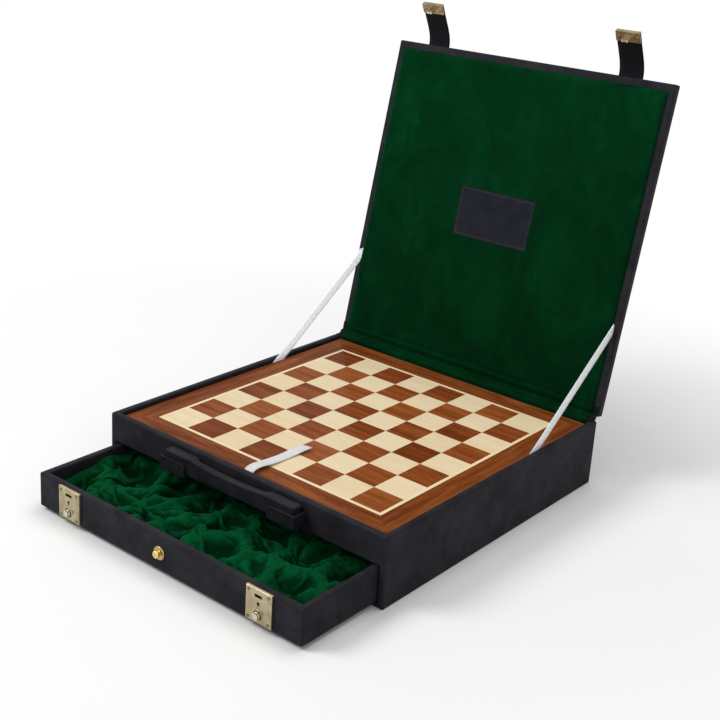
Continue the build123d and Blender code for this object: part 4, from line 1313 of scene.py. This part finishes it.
lampLook = {
    "keyLamp": {"place": (-1.4, -1.6, 2.1), "size": 1.3, "power": 42.0},
    "fillLamp": {"place": (1.9, -0.9, 1.3), "size": 1.2, "power": 3.0},
    "topLamp": {"place": (0.2, 0.5, 2.4), "size": 1.5, "power": 18.0},
}
lampTarget = Vector((0.0, 0.0, 0.1))
for name, look in lampLook.items():
    lamp = bpy.data.lights.new(name, "AREA")
    lamp.shape = "DISK"
    lamp.size = look["size"]
    lamp.energy = look["power"]
    holder = placeObject(name, lamp)
    holder.location = look["place"]
    holder.rotation_euler = (lampTarget - Vector(look["place"])).to_track_quat("-Z", "Y").to_euler()

# the floor fades to the white surround
floorLook = {"half": 30.0, "level": -0.0004, "tones": (0.90, 0.92), "gradient": (0.40, 0.85)}
floorMesh = newMesh()
bmesh.ops.create_grid(floorMesh, x_segments=2, y_segments=2, size=floorLook["half"])
shift(floorMesh, (0.0, 0.0, floorLook["level"]))
floorPaint, tree, shader, coords = startMaterial("paleFloor", {"Roughness": 0.9, "Specular IOR Level": 0.1})
darker, paler = floorLook["tones"]
paint(shader, addRamp(addNoise(coords, 3.0), [(0.3, (darker,) * 3), (0.7, (paler,) * 3)]))
away = addNode(tree, "VectorMath", {0: coords}, operation="LENGTH").outputs["Value"]
far = addRange(away, 0.0, 1.0, *floorLook["gradient"])
white = addNode(tree, "Emission", {"Color": (1.0, 1.0, 1.0, 1.0), "Strength": 1.0}).outputs[0]
blendIn = {0: times(far, seenRays(tree)), 1: shader.outputs[0], 2: white}
surface = addNode(tree, "MixShader", blendIn).outputs[0]
tree.links.new(surface, tree.nodes["Material Output"].inputs["Surface"])
studioFloor = meshObject("studioFloor", floorMesh)
studioFloor.data.materials.append(floorPaint)

surroundLook = {"tone": (1.0, 1.0, 1.0), "strength": (0.45, 1.0)}  # as light, and as it is seen
world = bpy.data.worlds.new("whiteSurround")
world.use_nodes = True
bpy.context.scene.world = world
tree = world.node_tree
backdrop = tree.nodes["Background"].inputs
tree.links.new(addRange(seenRays(tree), *surroundLook["strength"]), backdrop["Strength"])
backdrop["Color"].default_value = (*surroundLook["tone"], 1.0)

bpy.context.scene.view_settings.view_transform = "Standard"

for material, nodes in (
    (darkWood, ["squares_dark"]), (lightWood, ["squares_light"]), (borderWood, ["board_border"]),
    (lineWood, ["board_stringing"]), (panelWood, ["board_core", "board_ledges", "drawer_runners"]),
    (boltSteel, ["bolt_left", "bolt_right"]), (nickel, ["staple_left", "staple_right"]),
    (haspBrass, ["hasp_rivets_left", "hasp_rivets_right"]),
    (steel, ["hinge_leaf_case", "hinge_leaf_lid", "hinge_pin", "hinge_screws_case", "hinge_screws_lid",
             "handle_screws"]),
):
    for node in nodes:
        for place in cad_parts[node].material_slots:
            place.material = material
print("carried-over pieces dressed")
